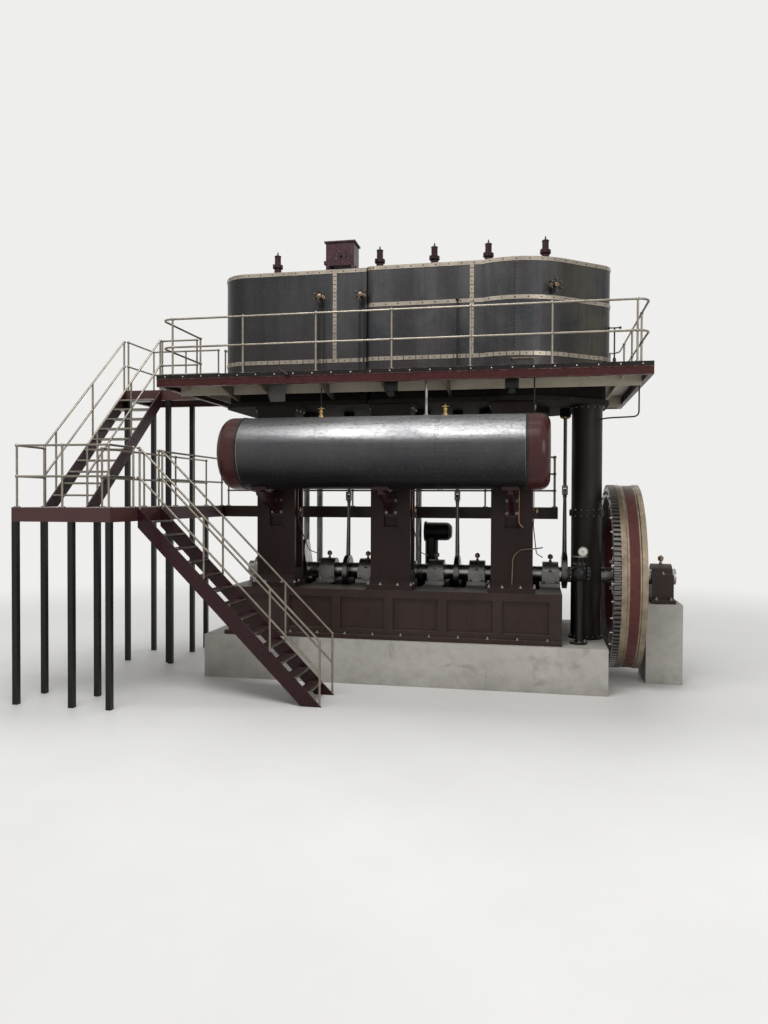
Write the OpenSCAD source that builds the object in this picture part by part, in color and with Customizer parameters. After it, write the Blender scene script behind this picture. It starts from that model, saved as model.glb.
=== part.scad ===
// Vertical triple-expansion pumping engine with its platforms and stairs.
// Origin on the pit floor under the middle cylinder, X along the crankshaft
// towards the flywheel, Y towards the back, Z up. All sizes in millimetres.

/* [Levels] */
// Height of the masonry foundation
foundation_h = 800; // [600:10:1000]
// Height of the cast bedplate
bed_h = 900; // [820:10:1000]
// Height of the shaft axis above the bedplate
shaft_rise = 220; // [200:5:260]
// Height of the columns between bedplate and cylinders
column_h = 3400; // [3250:10:3600]
// Height of the lagged casings
casing_h = 2020; // [1850:10:2200]
// Height of the platform deck above the underside of the cylinders
deck_rise = 460; // [420:10:520]
// Gap between the deck and the foot of the casings
casing_gap = 20; // [5:1:30]
// Height of the crosshead gallery and landing above the pit floor
gallery_z = 3200; // [3100:10:3300]

/* [Cylinder casings] */
// Distance between neighbouring cylinder axes
cyl_pitch = 2200; // [2150:10:2300]
// Half depth of the high pressure casing
high_half = 1320; // [1300:5:1380]
// Distance from the high pressure axis to the left end of its casing
high_left = 1150; // [1000:10:1300]
// Corner radius of the high pressure casing
high_corner = 550; // [300:10:700]
// Half depth of the intermediate casing
middle_half = 1400; // [1380:5:1450]
// Distance from the middle axis to the left face of the intermediate casing
middle_left = 460; // [400:10:600]
// Distance from the middle axis to the right face of the intermediate casing
middle_right = 1700; // [1500:10:1750]
// Corner radius of the intermediate casing
middle_corner = 150; // [60:10:300]
// Radius of the low pressure casing
low_r = 1510; // [1450:5:1560]
// Distance from the low pressure axis to the end of its valve chest
low_end = 1730; // [1600:5:1800]
// Half depth of the low pressure valve chest at its end
low_end_half = 750; // [650:10:900]
// Corner radius of the low pressure valve chest
low_corner = 350; // [100:10:450]
// Inset of the cylinder feet behind the casings
foot_inset = 60; // [30:5:100]
// Thickness of the flange round the cylinder feet
foot_flange = 80; // [50:5:120]
// Height of the polished strips
band_h = 72; // [40:1:90]
// Thickness of the polished strips
band_t = 8; // [4:1:15]
// Height of the lower strip above the foot of the casings
low_band_rise = 300; // [100:10:400]
// Height of the middle strip above the foot of the casings
mid_band_rise = 1280; // [1000:10:1500]
// Distance of the upright strip of the high pressure casing behind its axis line
high_strip = 1140; // [1000:10:1200]
// Distance of the upright strip of the intermediate casing from the middle axis
middle_strip = 1475; // [1200:5:1550]

/* [Casing fittings] */
// Height of the relief valves
relief_h = 570; // [450:10:650]
// Radius of the relief valve flanges
relief_r = 110; // [90:5:130]
// Distance of the relief valves in front of the cylinder axes
relief_y = 650; // [600:10:700]
// Width of the vent box
vent_w = 536; // [450:2:600]
// Depth of the vent box
vent_d = 400; // [300:10:500]
// Height of the vent box
vent_h = 420; // [300:10:500]
// Height of the legs of the vent box
vent_leg = 100; // [60:5:140]
// Distance of the vent box in front of the cylinder axes
vent_y = 1050; // [900:10:1060]
// Height of the star valves above the foot of the casings
star_rise = 1500; // [1400:10:1650]
// Reach of the star valve handles
star_r = 122; // [90:1:140]
// Direction of the low pressure star valve round its casing
star_turn = 26; // [15:1:35]

/* [Crankshaft] */
// Radius of the main journals
shaft_r = 150; // [120:1:180]
// Crank throw, half the stroke
throw = 450; // [380:5:480]
// Radius of the crankpins
pin_r = 130; // [100:1:150]
// Half length of the crankpins
pin_half = 150; // [120:5:180]
// Thickness of the crank webs
web_t = 140; // [100:5:160]
// Half width of the crank webs
web_half = 210; // [180:5:230]
// Angle of the first crank from the top
crank_turn = 25; // [0:5:360]
// Distance of the main bearings from the cylinder axes
bearing_off = 700; // [680:5:720]
// Half length of a main bearing
bearing_half = 180; // [140:5:200]
// Half depth of the main bearings
bearing_depth = 380; // [350:5:420]
// Clearance over the crossheads at the top of the stroke
cross_clear = 140; // [100:5:160]

/* [Running gear] */
// Radius of the piston rods
piston_rod_r = 70; // [50:1:90]
// Radius of the crosshead pins
cross_pin_r = 80; // [60:1:95]
// Distance of the guide faces in front of the cylinder axes
guide_y = 450; // [420:5:500]
// Radius of the eccentric sheaves
sheave_r = 290; // [260:5:310]
// Eccentricity of the sheaves
sheave_e = 80; // [50:5:100]
// Thickness of the eccentric sheaves
sheave_t = 110; // [80:5:130]
// Radius of the valve spindles
spindle_r = 35; // [25:1:45]

/* [Flywheel] */
// Outer radius of the flywheel
wheel_r = 1720; // [1600:10:1750]
// Distance of the flywheel from the middle axis
wheel_x = 4050; // [4040:5:4150]
// Width of the flywheel rim
wheel_w = 430; // [350:5:450]
// Radial depth of the rim
rim_depth = 240; // [180:5:320]
// Width of the toothed barring ring
ring_w = 120; // [80:5:130]
// Number of teeth on the barring ring
ring_teeth = 120; // [90:2:150]
// Depth of the teeth
tooth_h = 45; // [30:1:60]
// Number of flywheel arms
arm_count = 8; // [6:1:10]
// Radius of the flywheel hub
hub_r = 360; // [300:10:450]

/* [Columns] */
// Half width of the cast columns
column_half = 370; // [330:5:390]
// Distance of the column fronts from the cylinder axes
column_front = 1310; // [1300:5:1315]
// Distance of the column backs from the cylinder axes
column_back = 760; // [750:5:800]
// Forward spread of the column feet
column_spread = 120; // [60:10:200]
// Height of the column feet above the bedplate
column_foot_h = 220; // [150:10:400]
// Depth of the recesses in the columns
recess_d = 90; // [60:5:130]
// Width of the upright slot in the column fronts
slot_w = 250; // [200:10:300]
// Height of the ledge under the slot above the pit floor
ledge_z = 2840; // [2700:10:2950]
// Radius of the turned back columns
turned_r = 65; // [50:1:80]
// Half distance between the two turned columns of a pair
turned_half = 150; // [130:5:250]
// Distance of the turned columns behind the cylinder axes
turned_y = 1190; // [1150:5:1200]

/* [Pipes and gauge] */
// Distance of the bypass riser from the middle axis
bypass_x = 420; // [400:5:450]
// Height of the bypass head above the shaft
bypass_rise = 745; // [700:5:800]
// Distance of the stop valve from the right end of the foundation
gauge_inset = 470; // [440:10:500]
// Distance of the stop valve in front of the shaft
gauge_y = 1150; // [1100:10:1250]
// Height of the gauge centre above the stop valve
gauge_rise = 385; // [380:5:420]

/* [Receiver drum] */
// Radius of the lagged receiver drum
drum_r = 635; // [600:5:660]
// Distance of the drum axis in front of the cylinder axes
drum_y = 2050; // [2020:10:2150]
// Height of the drum axis
drum_z = 4160; // [4100:10:4250]
// Left end of the drum from the middle axis
drum_left = 2860; // [2700:10:3000]
// Right end of the drum from the middle axis
drum_right = 2850; // [2700:10:3000]
// Length of the domed drum ends
drum_cap = 350; // [250:10:450]
// Edge radius of the drum ends
drum_edge = 170; // [80:5:220]
// Width of the straps at the ends of the drum cladding
strap_w = 45; // [30:1:70]
// Half width of the saddles under the drum
saddle_half = 140; // [100:5:160]
// Depth of the saddle castings under the drum axis
saddle_drop = 830; // [780:10:900]

/* [Platform] */
// Distance of the left platform edge from the middle axis
plat_left = 4070; // [3900:10:4200]
// Distance of the right platform edge from the middle axis
plat_right = 4440; // [4300:10:4600]
// Half depth of the platform
plat_half = 2400; // [2300:10:2500]
// Thickness of the deck plates
deck_t = 30; // [10:1:40]
// Height of the edge channels
channel_h = 180; // [140:5:220]
// Width of the channel flanges
channel_w = 80; // [60:5:100]
// Thickness of the channel webs and flanges
channel_t = 16; // [10:1:24]
// Distance of the inner beams under the deck from the cylinder axes
inner_beam_y = 1600; // [1590:5:1700]
// Depth of the inner beams under the deck
inner_beam_h = 240; // [200:5:260]
// Height of the dark strip round the deck edge
kerb_h = 80; // [60:5:100]
// Thickness of the strip round the deck edge
kerb_t = 10; // [6:1:16]
// Distance between the handrail posts
post_pitch = 1330; // [1200:10:1400]
// Height of the handrails
rail_h = 1000; // [900:10:1100]
// Diameter of the handrail tubes
rail_d = 36; // [30:1:50]
// Inset of the handrails from the edges
rail_inset = 60; // [50:5:100]
// Radius of the rail corners
rail_bend = 200; // [120:10:260]

/* [Stairs] */
// Clear width of the stairs
stair_w = 770; // [700:10:850]
// Horizontal length of the upper flight
upper_run = 2670; // [2500:10:2800]
// Horizontal length of the lower flight
lower_run = 3200; // [3000:10:3400]
// Thickness of the stair stringers
stringer_t = 30; // [16:1:40]
// Depth of the stair stringers
stringer_h = 240; // [200:5:280]
// Number of steps in the upper flight
upper_steps = 11; // [10:1:12]
// Number of steps in the lower flight
lower_steps = 14; // [13:1:16]
// Thickness of the treads
tread_t = 30; // [20:1:40]
// Distance between the posts of the stair rails
stair_posts = 1150; // [1000:10:1300]
// Distance of the top landing front in front of the cylinder axes
top_landing_y = 650; // [600:10:750]
// Depth of the top landing
top_landing_d = 1200; // [1000:10:1300]
// Outer edge of the landings from the middle axis
landing_x = 5700; // [5650:10:5900]
// Depth of the middle landing
landing_d = 830; // [700:10:900]
// Width of the walkway along the left end
walk_w = 750; // [650:10:800]
// Front edge of the crosshead gallery behind the cylinder axes
gallery_y = 420; // [400:10:450]
// Width of the crosshead gallery
gallery_w = 640; // [600:10:650]
// Right end of the crosshead gallery
gallery_right = 3050; // [2900:10:3200]
// Height of the gallery edge beams
gallery_beam = 200; // [150:10:240]
// Width of the square posts under the landings
leg_w = 90; // [60:5:120]

/* [Hidden] */
$fn = 48;
fit = 0.3;
bed_top = foundation_h + bed_h;
shaft_z = bed_top + shaft_rise;
foot_z = bed_top + column_h;
deck_z = foot_z + deck_rise;
casing_z = deck_z + casing_gap;
casing_top = casing_z + casing_h;
cyl_x = [-cyl_pitch, 0, cyl_pitch];
high_x = cyl_x[0];
low_x = cyl_x[2];
bed_half = column_front + column_spread + 50;
bed_open = column_back;
bed_end = cyl_pitch + bearing_off + bearing_half;
bearing_x = [for (x = cyl_x) each [x - bearing_off, x + bearing_off]];
foundation_left = bed_end + 420;
foundation_right = wheel_x - ring_w - 80;
cover_r = [450, 560, 680];
lid_r = [480, 580, 640];
boss_r = [240, 300, 360];
relief_x = [cyl_x[0] - 196, cyl_x[1] - 347, cyl_x[1] + 705, cyl_x[2] - 481, cyl_x[2] + 560];
vent_x = cyl_x[0] + high_strip + 76;
star_x = [cyl_x[0] + 884, cyl_x[0] + 1657];
cock_x = [-1108, 1088];
vent_pipe_x = 760;
beam_x = [-3780, 4050];
bracket_x = [cyl_x[0] - 750, cyl_x[0], -cyl_pitch / 2, 0, cyl_pitch / 2];
bracket_t = 40;
lid_t = 24;
cover_depth = 110;
box_depth = 240;
cross_top = 290;
slipper_half = 260;
rod_len = column_h - shaft_rise - throw - cover_depth - box_depth - cross_top - cross_clear;
guide_z0 = shaft_z + rod_len - throw - slipper_half - 80;
guide_z1 = shaft_z + rod_len + throw + slipper_half + 60;
valve_x = [-cyl_pitch / 2, cyl_pitch / 2, bed_end + 30 + sheave_t / 2];
exhaust_r = 275;
exhaust_flange = 310;
exhaust_x = foundation_right - exhaust_flange;
exhaust_y = -shaft_r - exhaust_r - 40;
pier_left = wheel_x + wheel_w + 130;
pier_right = pier_left + 640;
pier_h = 1450;
rail_y = plat_half - rail_inset;
rail_left = -plat_left + rail_inset;
rail_right = plat_right - rail_inset;
stair_in = -landing_x + stringer_t;
stair_out = stair_in + stair_w;
walk_left = -plat_left + 120 - walk_w;
walk_right = walk_left + walk_w;
stair_foot_y = -top_landing_y - upper_run;
landing_front = stair_foot_y - landing_d;
lower_y0 = stair_foot_y + 50;
lower_y1 = lower_y0 + stair_w;
deck_split = high_half - high_corner;

// A straight round bar from point a to point b
module bar(a, b, d) {
  v = b - a;
  length = norm(v);
  translate(a) rotate([0, acos(v.z / length), atan2(v.y, v.x)]) cylinder(h = length, d = d);
}

// A rectangular block between two opposite corners
module block(a, b) {
  translate(a) cube(b - a);
}

// Plan of the high pressure casing, grown outwards by g
module high_plan(g = 0) {
  left = high_x - high_left;
  translate([left + high_corner, -high_half - g]) square([-middle_left - left - high_corner, 2 * (high_half + g)]);
  translate([left - g, -high_half + high_corner]) square([high_corner + g + 1, 2 * (high_half - high_corner)]);
  for (s = [-1, 1]) translate([left + high_corner, s * (high_half - high_corner)]) circle(r = high_corner + g);
}

// Plan of the intermediate casing, grown outwards by g
module middle_plan(g = 0) {
  translate([-middle_left + middle_corner, -middle_half - g]) square([middle_right + middle_left - middle_corner, 2 * (middle_half + g)]);
  translate([-middle_left - g, -middle_half + middle_corner]) square([middle_corner + g + 1, 2 * (middle_half - middle_corner)]);
  for (s = [-1, 1]) translate([-middle_left + middle_corner, s * (middle_half - middle_corner)]) circle(r = middle_corner + g);
}

// Plan of the low pressure casing, a round barrel that tapers into its valve chest
module low_plan(g = 0) {
  cx = low_end - low_corner;
  cy = low_end_half - low_corner;
  a = atan2(cy, cx) + acos((low_r - low_corner) / norm([cx, cy]));
  t1 = (low_r + g) * [cos(a), sin(a)];
  t2 = [cx, cy] + (low_corner + g) * [cos(a), sin(a)];
  translate([low_x, 0]) {
    intersection() {
      circle(r = low_r + g);
      translate([middle_right - low_x, -2 * low_r]) square([3 * low_r, 4 * low_r]);
    }
    polygon([t1, t2, [t2.x, -t2.y], [t1.x, -t1.y]]);
    for (s = [-1, 1]) translate([cx, s * cy]) circle(r = low_corner + g);
    translate([cx, -cy]) square([low_corner + g, 2 * cy]);
  }
}

// Plan of all three casings, grown outwards by g
module engine_plan(g = 0) {
  high_plan(g);
  middle_plan(g);
  low_plan(g);
}

module foundation() color("#8f8a80") {
  block([-foundation_left, -bed_half - 150, 0], [foundation_right, bed_half + 150, foundation_h]);
  block([pier_left, -500, 0], [pier_right, 500, pier_h]);
}

// Cast bedplate: two long girders joined by cross girders under the bearings
module bedplate() color("#3a2220") {
  difference() {
    union() {
      block([-bed_end, -bed_half, foundation_h], [bed_end, bed_half, bed_top]);
      block([-bed_end - 60, -bed_half - 60, foundation_h], [bed_end, bed_half + 60, foundation_h + 80]);
    }
    for (x = cyl_x) block([x - bearing_off + bearing_half + 20, -bed_open, foundation_h - 1],
                          [x + bearing_off - bearing_half - 20, bed_open, bed_top + 1]);
    for (x = [-cyl_pitch / 2, cyl_pitch / 2])
      block([x - cyl_pitch / 2 + bearing_off + bearing_half, -bed_open, foundation_h + 300],
            [x + cyl_pitch / 2 - bearing_off - bearing_half, bed_open, bed_top + 1]);
    for (s = [-1, 1]) for (i = [-2.5 : 1 : 2.5])
      translate([i * bed_end / 3.14, s * bed_half, (foundation_h + bed_top) / 2 + 20])
        cube([bed_end / 3.14 - 160, 120, bed_h - 320], center = true);
  }
}

// One plummer block with its cap
module main_bearing(half, seat, y_half) {
  difference() {
    union() {
      block([-half, -y_half, seat], [half, y_half, seat + 70]);
      block([-half + 20, -y_half * 0.72, seat], [half - 20, y_half * 0.72, shaft_z + 60]);
      translate([0, 0, shaft_z]) rotate([0, 90, 0]) cylinder(h = 2 * half - 60, r = shaft_r + 90, center = true);
    }
    translate([0, 0, shaft_z]) rotate([0, 90, 0]) cylinder(h = 4 * half, r = shaft_r + fit, center = true);
    block([-2 * half, -y_half, seat - 200], [2 * half, y_half, seat]);
  }
}

module main_bearings() color("#4a2a28") {
  for (x = bearing_x) translate([x, 0, 0]) main_bearing(bearing_half, bed_top, bearing_depth);
}

// Crank web with round ends, in the plane of the crank
module web() {
  rotate([90, 0, 90]) linear_extrude(web_t) {
    circle(r = web_half);
    translate([0, throw]) circle(r = web_half);
    translate([-web_half, 0]) square([2 * web_half, throw]);
  }
}

module crankshaft() color("#9a9a98") {
  translate([0, 0, shaft_z]) {
    for (i = [0 : 2]) translate([cyl_x[i], 0, 0]) rotate([crank_turn + 120 * i, 0, 0]) {
      translate([pin_half, 0, 0]) web();
      translate([-pin_half - web_t, 0, 0]) web();
      translate([-pin_half - 1, 0, throw]) rotate([0, 90, 0]) cylinder(h = 2 * pin_half + 2, r = pin_r);
    }
    half = pin_half + web_t - 1;
    ends = [-bed_end - 120, for (x = cyl_x) each [x - half, x + half], pier_right - 60];
    for (i = [0 : 3]) translate([ends[2 * i], 0, 0]) rotate([0, 90, 0])
      cylinder(h = ends[2 * i + 1] - ends[2 * i], r = shaft_r);
  }
}

// Rim with raised polished edges, arms and hub
module flywheel() color("#5a2a2c") {
  translate([wheel_x, 0, shaft_z]) rotate([90, 0, 90]) {
    rotate_extrude() polygon([
      [wheel_r - rim_depth, 0], [wheel_r, 0], [wheel_r, 90], [wheel_r - 14, 104],
      [wheel_r - 14, wheel_w - 104], [wheel_r, wheel_w - 90], [wheel_r, wheel_w],
      [wheel_r - rim_depth, wheel_w], [wheel_r - rim_depth - 60, wheel_w / 2 + 70],
      [wheel_r - rim_depth - 60, wheel_w / 2 - 70]]);
    difference() {
      union() {
        translate([0, 0, 20]) cylinder(h = wheel_w - 40, r = hub_r);
        for (i = [0 : arm_count - 1]) rotate([0, 0, 360 / arm_count * i])
          translate([hub_r - 30, 0, wheel_w / 2]) rotate([0, 90, 0])
            cylinder(h = wheel_r - rim_depth + 40 - hub_r + 30, r1 = 112, r2 = 85);
      }
      translate([0, 0, -1]) cylinder(h = wheel_w + 2, r = shaft_r + fit);
    }
  }
}

// Toothed ring bolted to the left face of the rim
module barring_ring() color("#2b2826") {
  step = 360 / ring_teeth;
  root = wheel_r - tooth_h;
  teeth = [for (i = [0 : ring_teeth - 1]) for (p = [[0.00, root], [0.16, wheel_r], [0.42, wheel_r], [0.58, root]])
    p[1] * [cos((i + p[0]) * step), sin((i + p[0]) * step)]];
  translate([wheel_x - fit - ring_w, 0, shaft_z]) rotate([90, 0, 90]) linear_extrude(ring_w) difference() {
    polygon(teeth);
    circle(r = wheel_r - rim_depth + 20);
  }
}

module outboard_bearing() color("#262423") {
  translate([(pier_left + pier_right) / 2, 0, 0]) main_bearing(210, pier_h, 420);
}

// Direction of a crank from the shaft axis
function crank_y(i) = -throw * sin(crank_turn + 120 * i);
function crank_z(i) = shaft_z + throw * cos(crank_turn + 120 * i);
function cross_z(i) = crank_z(i) + sqrt(rod_len * rod_len - crank_y(i) * crank_y(i));

// Marine type rod: split big end, tapered round shank, forked small end
module connecting_rod() {
  difference() {
    union() {
      translate([0, 0, -20]) cube([2 * pin_half - 4, 2 * pin_r + 260, 380], center = true);
      cylinder(h = rod_len - 260, r1 = 105, r2 = 75);
      block([-165, -85, rod_len - 330], [165, 85, rod_len - 210]);
      for (s = [-1, 1]) translate([s * 132.5, 0, rod_len]) {
        rotate([0, 90, 0]) cylinder(h = 65, r = 145, center = true);
        block([-32.5, -85, -330], [32.5, 85, 0]);
      }
    }
    rotate([0, 90, 0]) cylinder(h = 1000, r = pin_r + fit, center = true);
    translate([0, 0, rod_len]) rotate([0, 90, 0]) cylinder(h = 1000, r = cross_pin_r + fit, center = true);
  }
}

module connecting_rods() color("#a3a29e") {
  for (i = [0 : 2]) translate([cyl_x[i], crank_y(i), crank_z(i)])
    rotate([atan2(crank_y(i), cross_z(i) - crank_z(i)), 0, 0]) connecting_rod();
}

// Crosshead block with pin, slipper and piston rod
module crossheads() color("#8d8c88") {
  for (i = [0 : 2]) translate([cyl_x[i], 0, cross_z(i)]) {
    rotate([0, 90, 0]) cylinder(h = 400, r = cross_pin_r, center = true);
    rotate([0, 90, 0]) cylinder(h = 190, r = 170, center = true);
    block([-95, -130, 60], [95, 130, cross_top]);
    block([-95, -guide_y + 70, -60], [95, 0, 120]);
    block([-190, -guide_y + fit, -slipper_half], [190, -guide_y + 75, slipper_half]);
    cylinder(h = foot_z - cross_z(i) - fit, r = piston_rod_r);
  }
}

// Cast column: box section with a slotted front, recessed sides and guide
module cast_column() {
  vertical_z = bed_top + column_foot_h;
  difference() {
    union() {
      rotate([90, 0, 90]) translate([0, 0, -column_half]) linear_extrude(2 * column_half) polygon([
        [-column_back, bed_top], [-column_back, foot_z], [-column_front, foot_z],
        [-column_front, vertical_z], [-column_front - column_spread, bed_top + 90],
        [-column_front - column_spread, bed_top]]);
      block([-column_half - 50, -column_front - column_spread - 40, bed_top],
            [column_half + 50, -column_back, bed_top + 90]);
      block([-column_half - 40, -column_front, foot_z - 70], [column_half + 40, -column_back, foot_z]);
    }
    block([-slot_w / 2, -column_front - 1, ledge_z], [slot_w / 2, -column_front + recess_d, foot_z - 250]);
    for (s = [-1, 1]) translate([s * column_half, 0, 0])
      block([-recess_d, -column_front + 80, vertical_z + 120], [recess_d, -column_back - 90, foot_z - 200]);
  }
  block([-slot_w / 2 - 40, -column_front - 30, ledge_z - 30], [slot_w / 2 + 40, -column_front + 1, ledge_z]);
  block([-60, -column_back, guide_z0 + 60], [60, -guide_y - 60, guide_z1 - 60]);
  block([-220, -guide_y - 60, guide_z0], [220, -guide_y, guide_z1]);
}

module high_column() color("#4a2626") translate([cyl_x[0], 0, 0]) cast_column();
module middle_column() color("#4a2626") translate([cyl_x[1], 0, 0]) cast_column();
module low_column() color("#4a2626") translate([cyl_x[2], 0, 0]) cast_column();

// Pairs of turned steel columns behind the cylinders
module back_columns() color("#55504c") {
  for (x = cyl_x) for (s = [-1, 1]) translate([x + s * turned_half, turned_y, bed_top]) {
    cylinder(h = column_h, r = turned_r);
    cylinder(h = 60, r = turned_r + 45);
    translate([0, 0, 60]) cylinder(h = 90, r1 = turned_r + 25, r2 = turned_r);
    translate([0, 0, column_h - 60]) cylinder(h = 60, r = turned_r + 45);
    translate([0, 0, column_h - 150]) cylinder(h = 90, r1 = turned_r, r2 = turned_r + 25);
  }
}

// Lower cover and stuffing box under a cylinder
module lower_cover(i) {
  translate([cyl_x[i], 0, foot_z - cover_depth]) cylinder(h = cover_depth, r = cover_r[i]);
  translate([cyl_x[i], 0, foot_z - cover_depth - box_depth]) cylinder(h = box_depth + 10, r = 170);
  translate([cyl_x[i], 0, foot_z - cover_depth - box_depth]) cylinder(h = 50, r = 215);
  translate([valve_x[i], 0, foot_z - 160]) cylinder(h = 170, r = 105);
}

// Cylinder foot: recessed wall over a broad flange, with its lower cover
module foot(i) {
  difference() {
    union() {
      translate([0, 0, foot_z]) linear_extrude(foot_flange) children(0);
      translate([0, 0, foot_z]) linear_extrude(casing_z - foot_z) children(1);
      lower_cover(i);
    }
    translate([cyl_x[i], 0, foot_z - 400]) cylinder(h = 440, r = piston_rod_r + fit);
    translate([valve_x[i], 0, foot_z - 200]) cylinder(h = 240, r = spindle_r + fit);
  }
}

module high_cylinder_foot() color("#332c2a") foot(0) {
  high_plan(0);
  high_plan(-foot_inset);
}
module middle_cylinder_foot() color("#332c2a") foot(1) {
  difference() {
    middle_plan(0);
    high_plan(0);
  }
  difference() {
    middle_plan(-foot_inset);
    high_plan(0);
  }
}
module low_cylinder_foot() color("#332c2a") foot(2) {
  low_plan(0);
  low_plan(-foot_inset);
}

module casing(i) {
  translate([0, 0, casing_z]) linear_extrude(casing_h) children();
  translate([cyl_x[i], 0, casing_top]) cylinder(h = lid_t, r = lid_r[i]);
  translate([cyl_x[i], 0, casing_top + lid_t]) cylinder(h = lid_t, r = boss_r[i]);
}

module high_casing() color("#3d4148") casing(0) high_plan();
module middle_casing() color("#3d4148") casing(1) difference() {
  middle_plan();
  high_plan();
}
module low_casing() color("#3d4148") casing(2) low_plan();

// Upright strip on the front and back of a casing of a given half depth
module upright_strip(x, half) {
  low = casing_z + low_band_rise + band_h - 1;
  high = casing_top - band_h + 1;
  for (s = [-1, 1]) translate([x, s * (half + (band_t + fit) / 2), (low + high) / 2])
    cube([band_h, band_t - fit, high - low], center = true);
}

// Polished strips round the casings
module casing_bands() color("#a59d8c") {
  for (z = [casing_z + low_band_rise, casing_top - band_h]) translate([0, 0, z]) linear_extrude(band_h)
    difference() {
      engine_plan(band_t);
      engine_plan(fit);
    }
  translate([0, 0, casing_z + mid_band_rise]) linear_extrude(band_h) difference() {
    engine_plan(band_t);
    engine_plan(fit);
    translate([-10000, -5000]) square([10000 - middle_left - band_t, 10000]);
  }
  upright_strip(high_x + high_strip, high_half);
  upright_strip(middle_strip, middle_half);
}

// Relief valve: flanged body, bolted collar, spring case and finial
module relief_valve() {
  rotate_extrude() polygon([
    [0, 0], [relief_r, 0], [relief_r, 28], [72, 36], [70, 0.46 * relief_h], [100, 0.50 * relief_h],
    [100, 0.60 * relief_h], [62, 0.62 * relief_h], [60, 0.88 * relief_h], [48, 0.91 * relief_h],
    [20, 0.92 * relief_h], [14, relief_h], [0, relief_h]]);
}

module relief_valves() color("#45202a") {
  for (x = relief_x) translate([x, -relief_y, casing_top]) relief_valve();
}

// Box on four legs with an overhanging lid and a loop handle
module vent_box() color("#45202a") {
  lid = vent_leg + vent_h;
  translate([vent_x, -vent_y, casing_top]) {
    for (x = [-vent_w / 2, vent_w / 2 - 50]) for (y = [-vent_d / 2, vent_d / 2 - 50])
      translate([x, y, 0]) cube([50, 50, vent_leg + 1]);
    block([-vent_w / 2, -vent_d / 2, vent_leg], [vent_w / 2, vent_d / 2, lid]);
    block([-vent_w / 2 - 28, -vent_d / 2 - 28, lid], [vent_w / 2 + 28, vent_d / 2 + 28, lid + 26]);
    for (x = [-75, 75]) translate([x, 0, lid]) cylinder(h = 80, d = 16);
    bar([-83, 0, lid + 80], [83, 0, lid + 80], 16);
  }
}

// Star handled cock on a casing front
module star_valve() {
  bar([0, 0, 0], [0, -165, 0], 44);
  bar([0, -60, 0], [0, -60, -star_r], 60);
  bar([0, -130, 0], [0, -172, 0], 76);
  for (a = [0 : 60 : 300]) rotate([0, a, 0]) {
    bar([0, -150, 0], [0, -150, star_r - 38], 22);
    bar([0, -150, star_r - 38], [0, -150, star_r], 38);
  }
}

module casing_valves() color("#9c7a52") {
  for (x = star_x) translate([x, -high_half - fit, casing_z + star_rise]) star_valve();
  translate([low_x, 0, casing_z + star_rise]) rotate([0, 0, star_turn]) translate([0, -low_r - fit, 0]) star_valve();
}

module receiver_drum() color("#4b4f55") {
  translate([-drum_left + drum_cap, -drum_y, drum_z]) rotate([0, 90, 0])
    cylinder(h = drum_left + drum_right - 2 * drum_cap, r = drum_r);
}

// Straps over the ends of the cladding
module drum_straps() color("#2b2826") {
  for (x = [-drum_left + drum_cap, drum_right - drum_cap - strap_w]) translate([x, -drum_y, drum_z])
    rotate([0, 90, 0]) difference() {
      cylinder(h = strap_w, r = drum_r + 9);
      translate([0, 0, -1]) cylinder(h = strap_w + 2, r = drum_r + fit);
    }
}

// Domed drum end with a rounded edge
module drum_end() {
  rotate_extrude() {
    square([drum_r + 5, drum_cap - drum_edge - fit]);
    square([drum_r + 5 - drum_edge, drum_cap - fit]);
    translate([drum_r + 5 - drum_edge, drum_cap - drum_edge - fit]) intersection() {
      circle(r = drum_edge);
      translate([0, -drum_edge]) square([drum_edge, 2 * drum_edge]);
    }
  }
}

module drum_ends() color("#5c2526") {
  translate([drum_right - drum_cap + fit, -drum_y, drum_z]) rotate([0, 90, 0]) drum_end();
  translate([-drum_left + drum_cap - fit, -drum_y, drum_z]) rotate([0, -90, 0]) drum_end();
}

// Cantilever saddle: a plate in the column slot, a tapered web and a broad shoe under the drum
module drum_bracket() {
  seat = -column_front + recess_d - fit;
  low_z = drum_z - saddle_drop;
  high_z = drum_z - 0.35 * drum_r;
  side = [[seat - 40, low_z - 250], [seat - 40, high_z], [-drum_y - 0.35 * drum_r, high_z],
          [-drum_y - 0.35 * drum_r, low_z + 100], [-drum_y, low_z]];
  difference() {
    union() {
      block([-slot_w / 2 + 4, seat - 41, low_z - 300], [slot_w / 2 - 4, seat, high_z]);
      rotate([90, 0, 90]) translate([0, 0, -40]) linear_extrude(80) polygon(side);
      intersection() {
        rotate([90, 0, 90]) translate([0, 0, -saddle_half]) linear_extrude(2 * saddle_half)
          polygon([[-column_front - 20, low_z + 60], [-column_front - 20, high_z],
                   [-drum_y - 0.35 * drum_r, high_z], [-drum_y - 0.35 * drum_r, low_z]]);
        translate([0, -drum_y, drum_z]) rotate([0, 90, 0]) cylinder(h = 400, r = drum_r + 55, center = true);
      }
    }
    translate([0, -drum_y, drum_z]) rotate([0, 90, 0]) cylinder(h = 2000, r = drum_r + fit, center = true);
  }
}

module drum_brackets() color("#4a2626") {
  for (x = cyl_x) translate([x, 0, 0]) drum_bracket();
}

// Cocks and pipes on top of the drum
module drum_fittings() color("#b08b4f") {
  top = drum_z + drum_r + fit;
  for (x = cock_x) translate([x, -drum_y, top]) {
    cylinder(h = 40, r = 40);
    cylinder(h = 150, r = 18);
    translate([0, 0, 90]) sphere(d = 70);
    bar([-60, 0, 150], [60, 0, 150], 18);
  }
  translate([vent_pipe_x, -drum_y, top]) {
    cylinder(h = 20, r = 55);
    cylinder(h = deck_z - deck_t - top - channel_h * 0.5, r = 28);
  }
}

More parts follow.
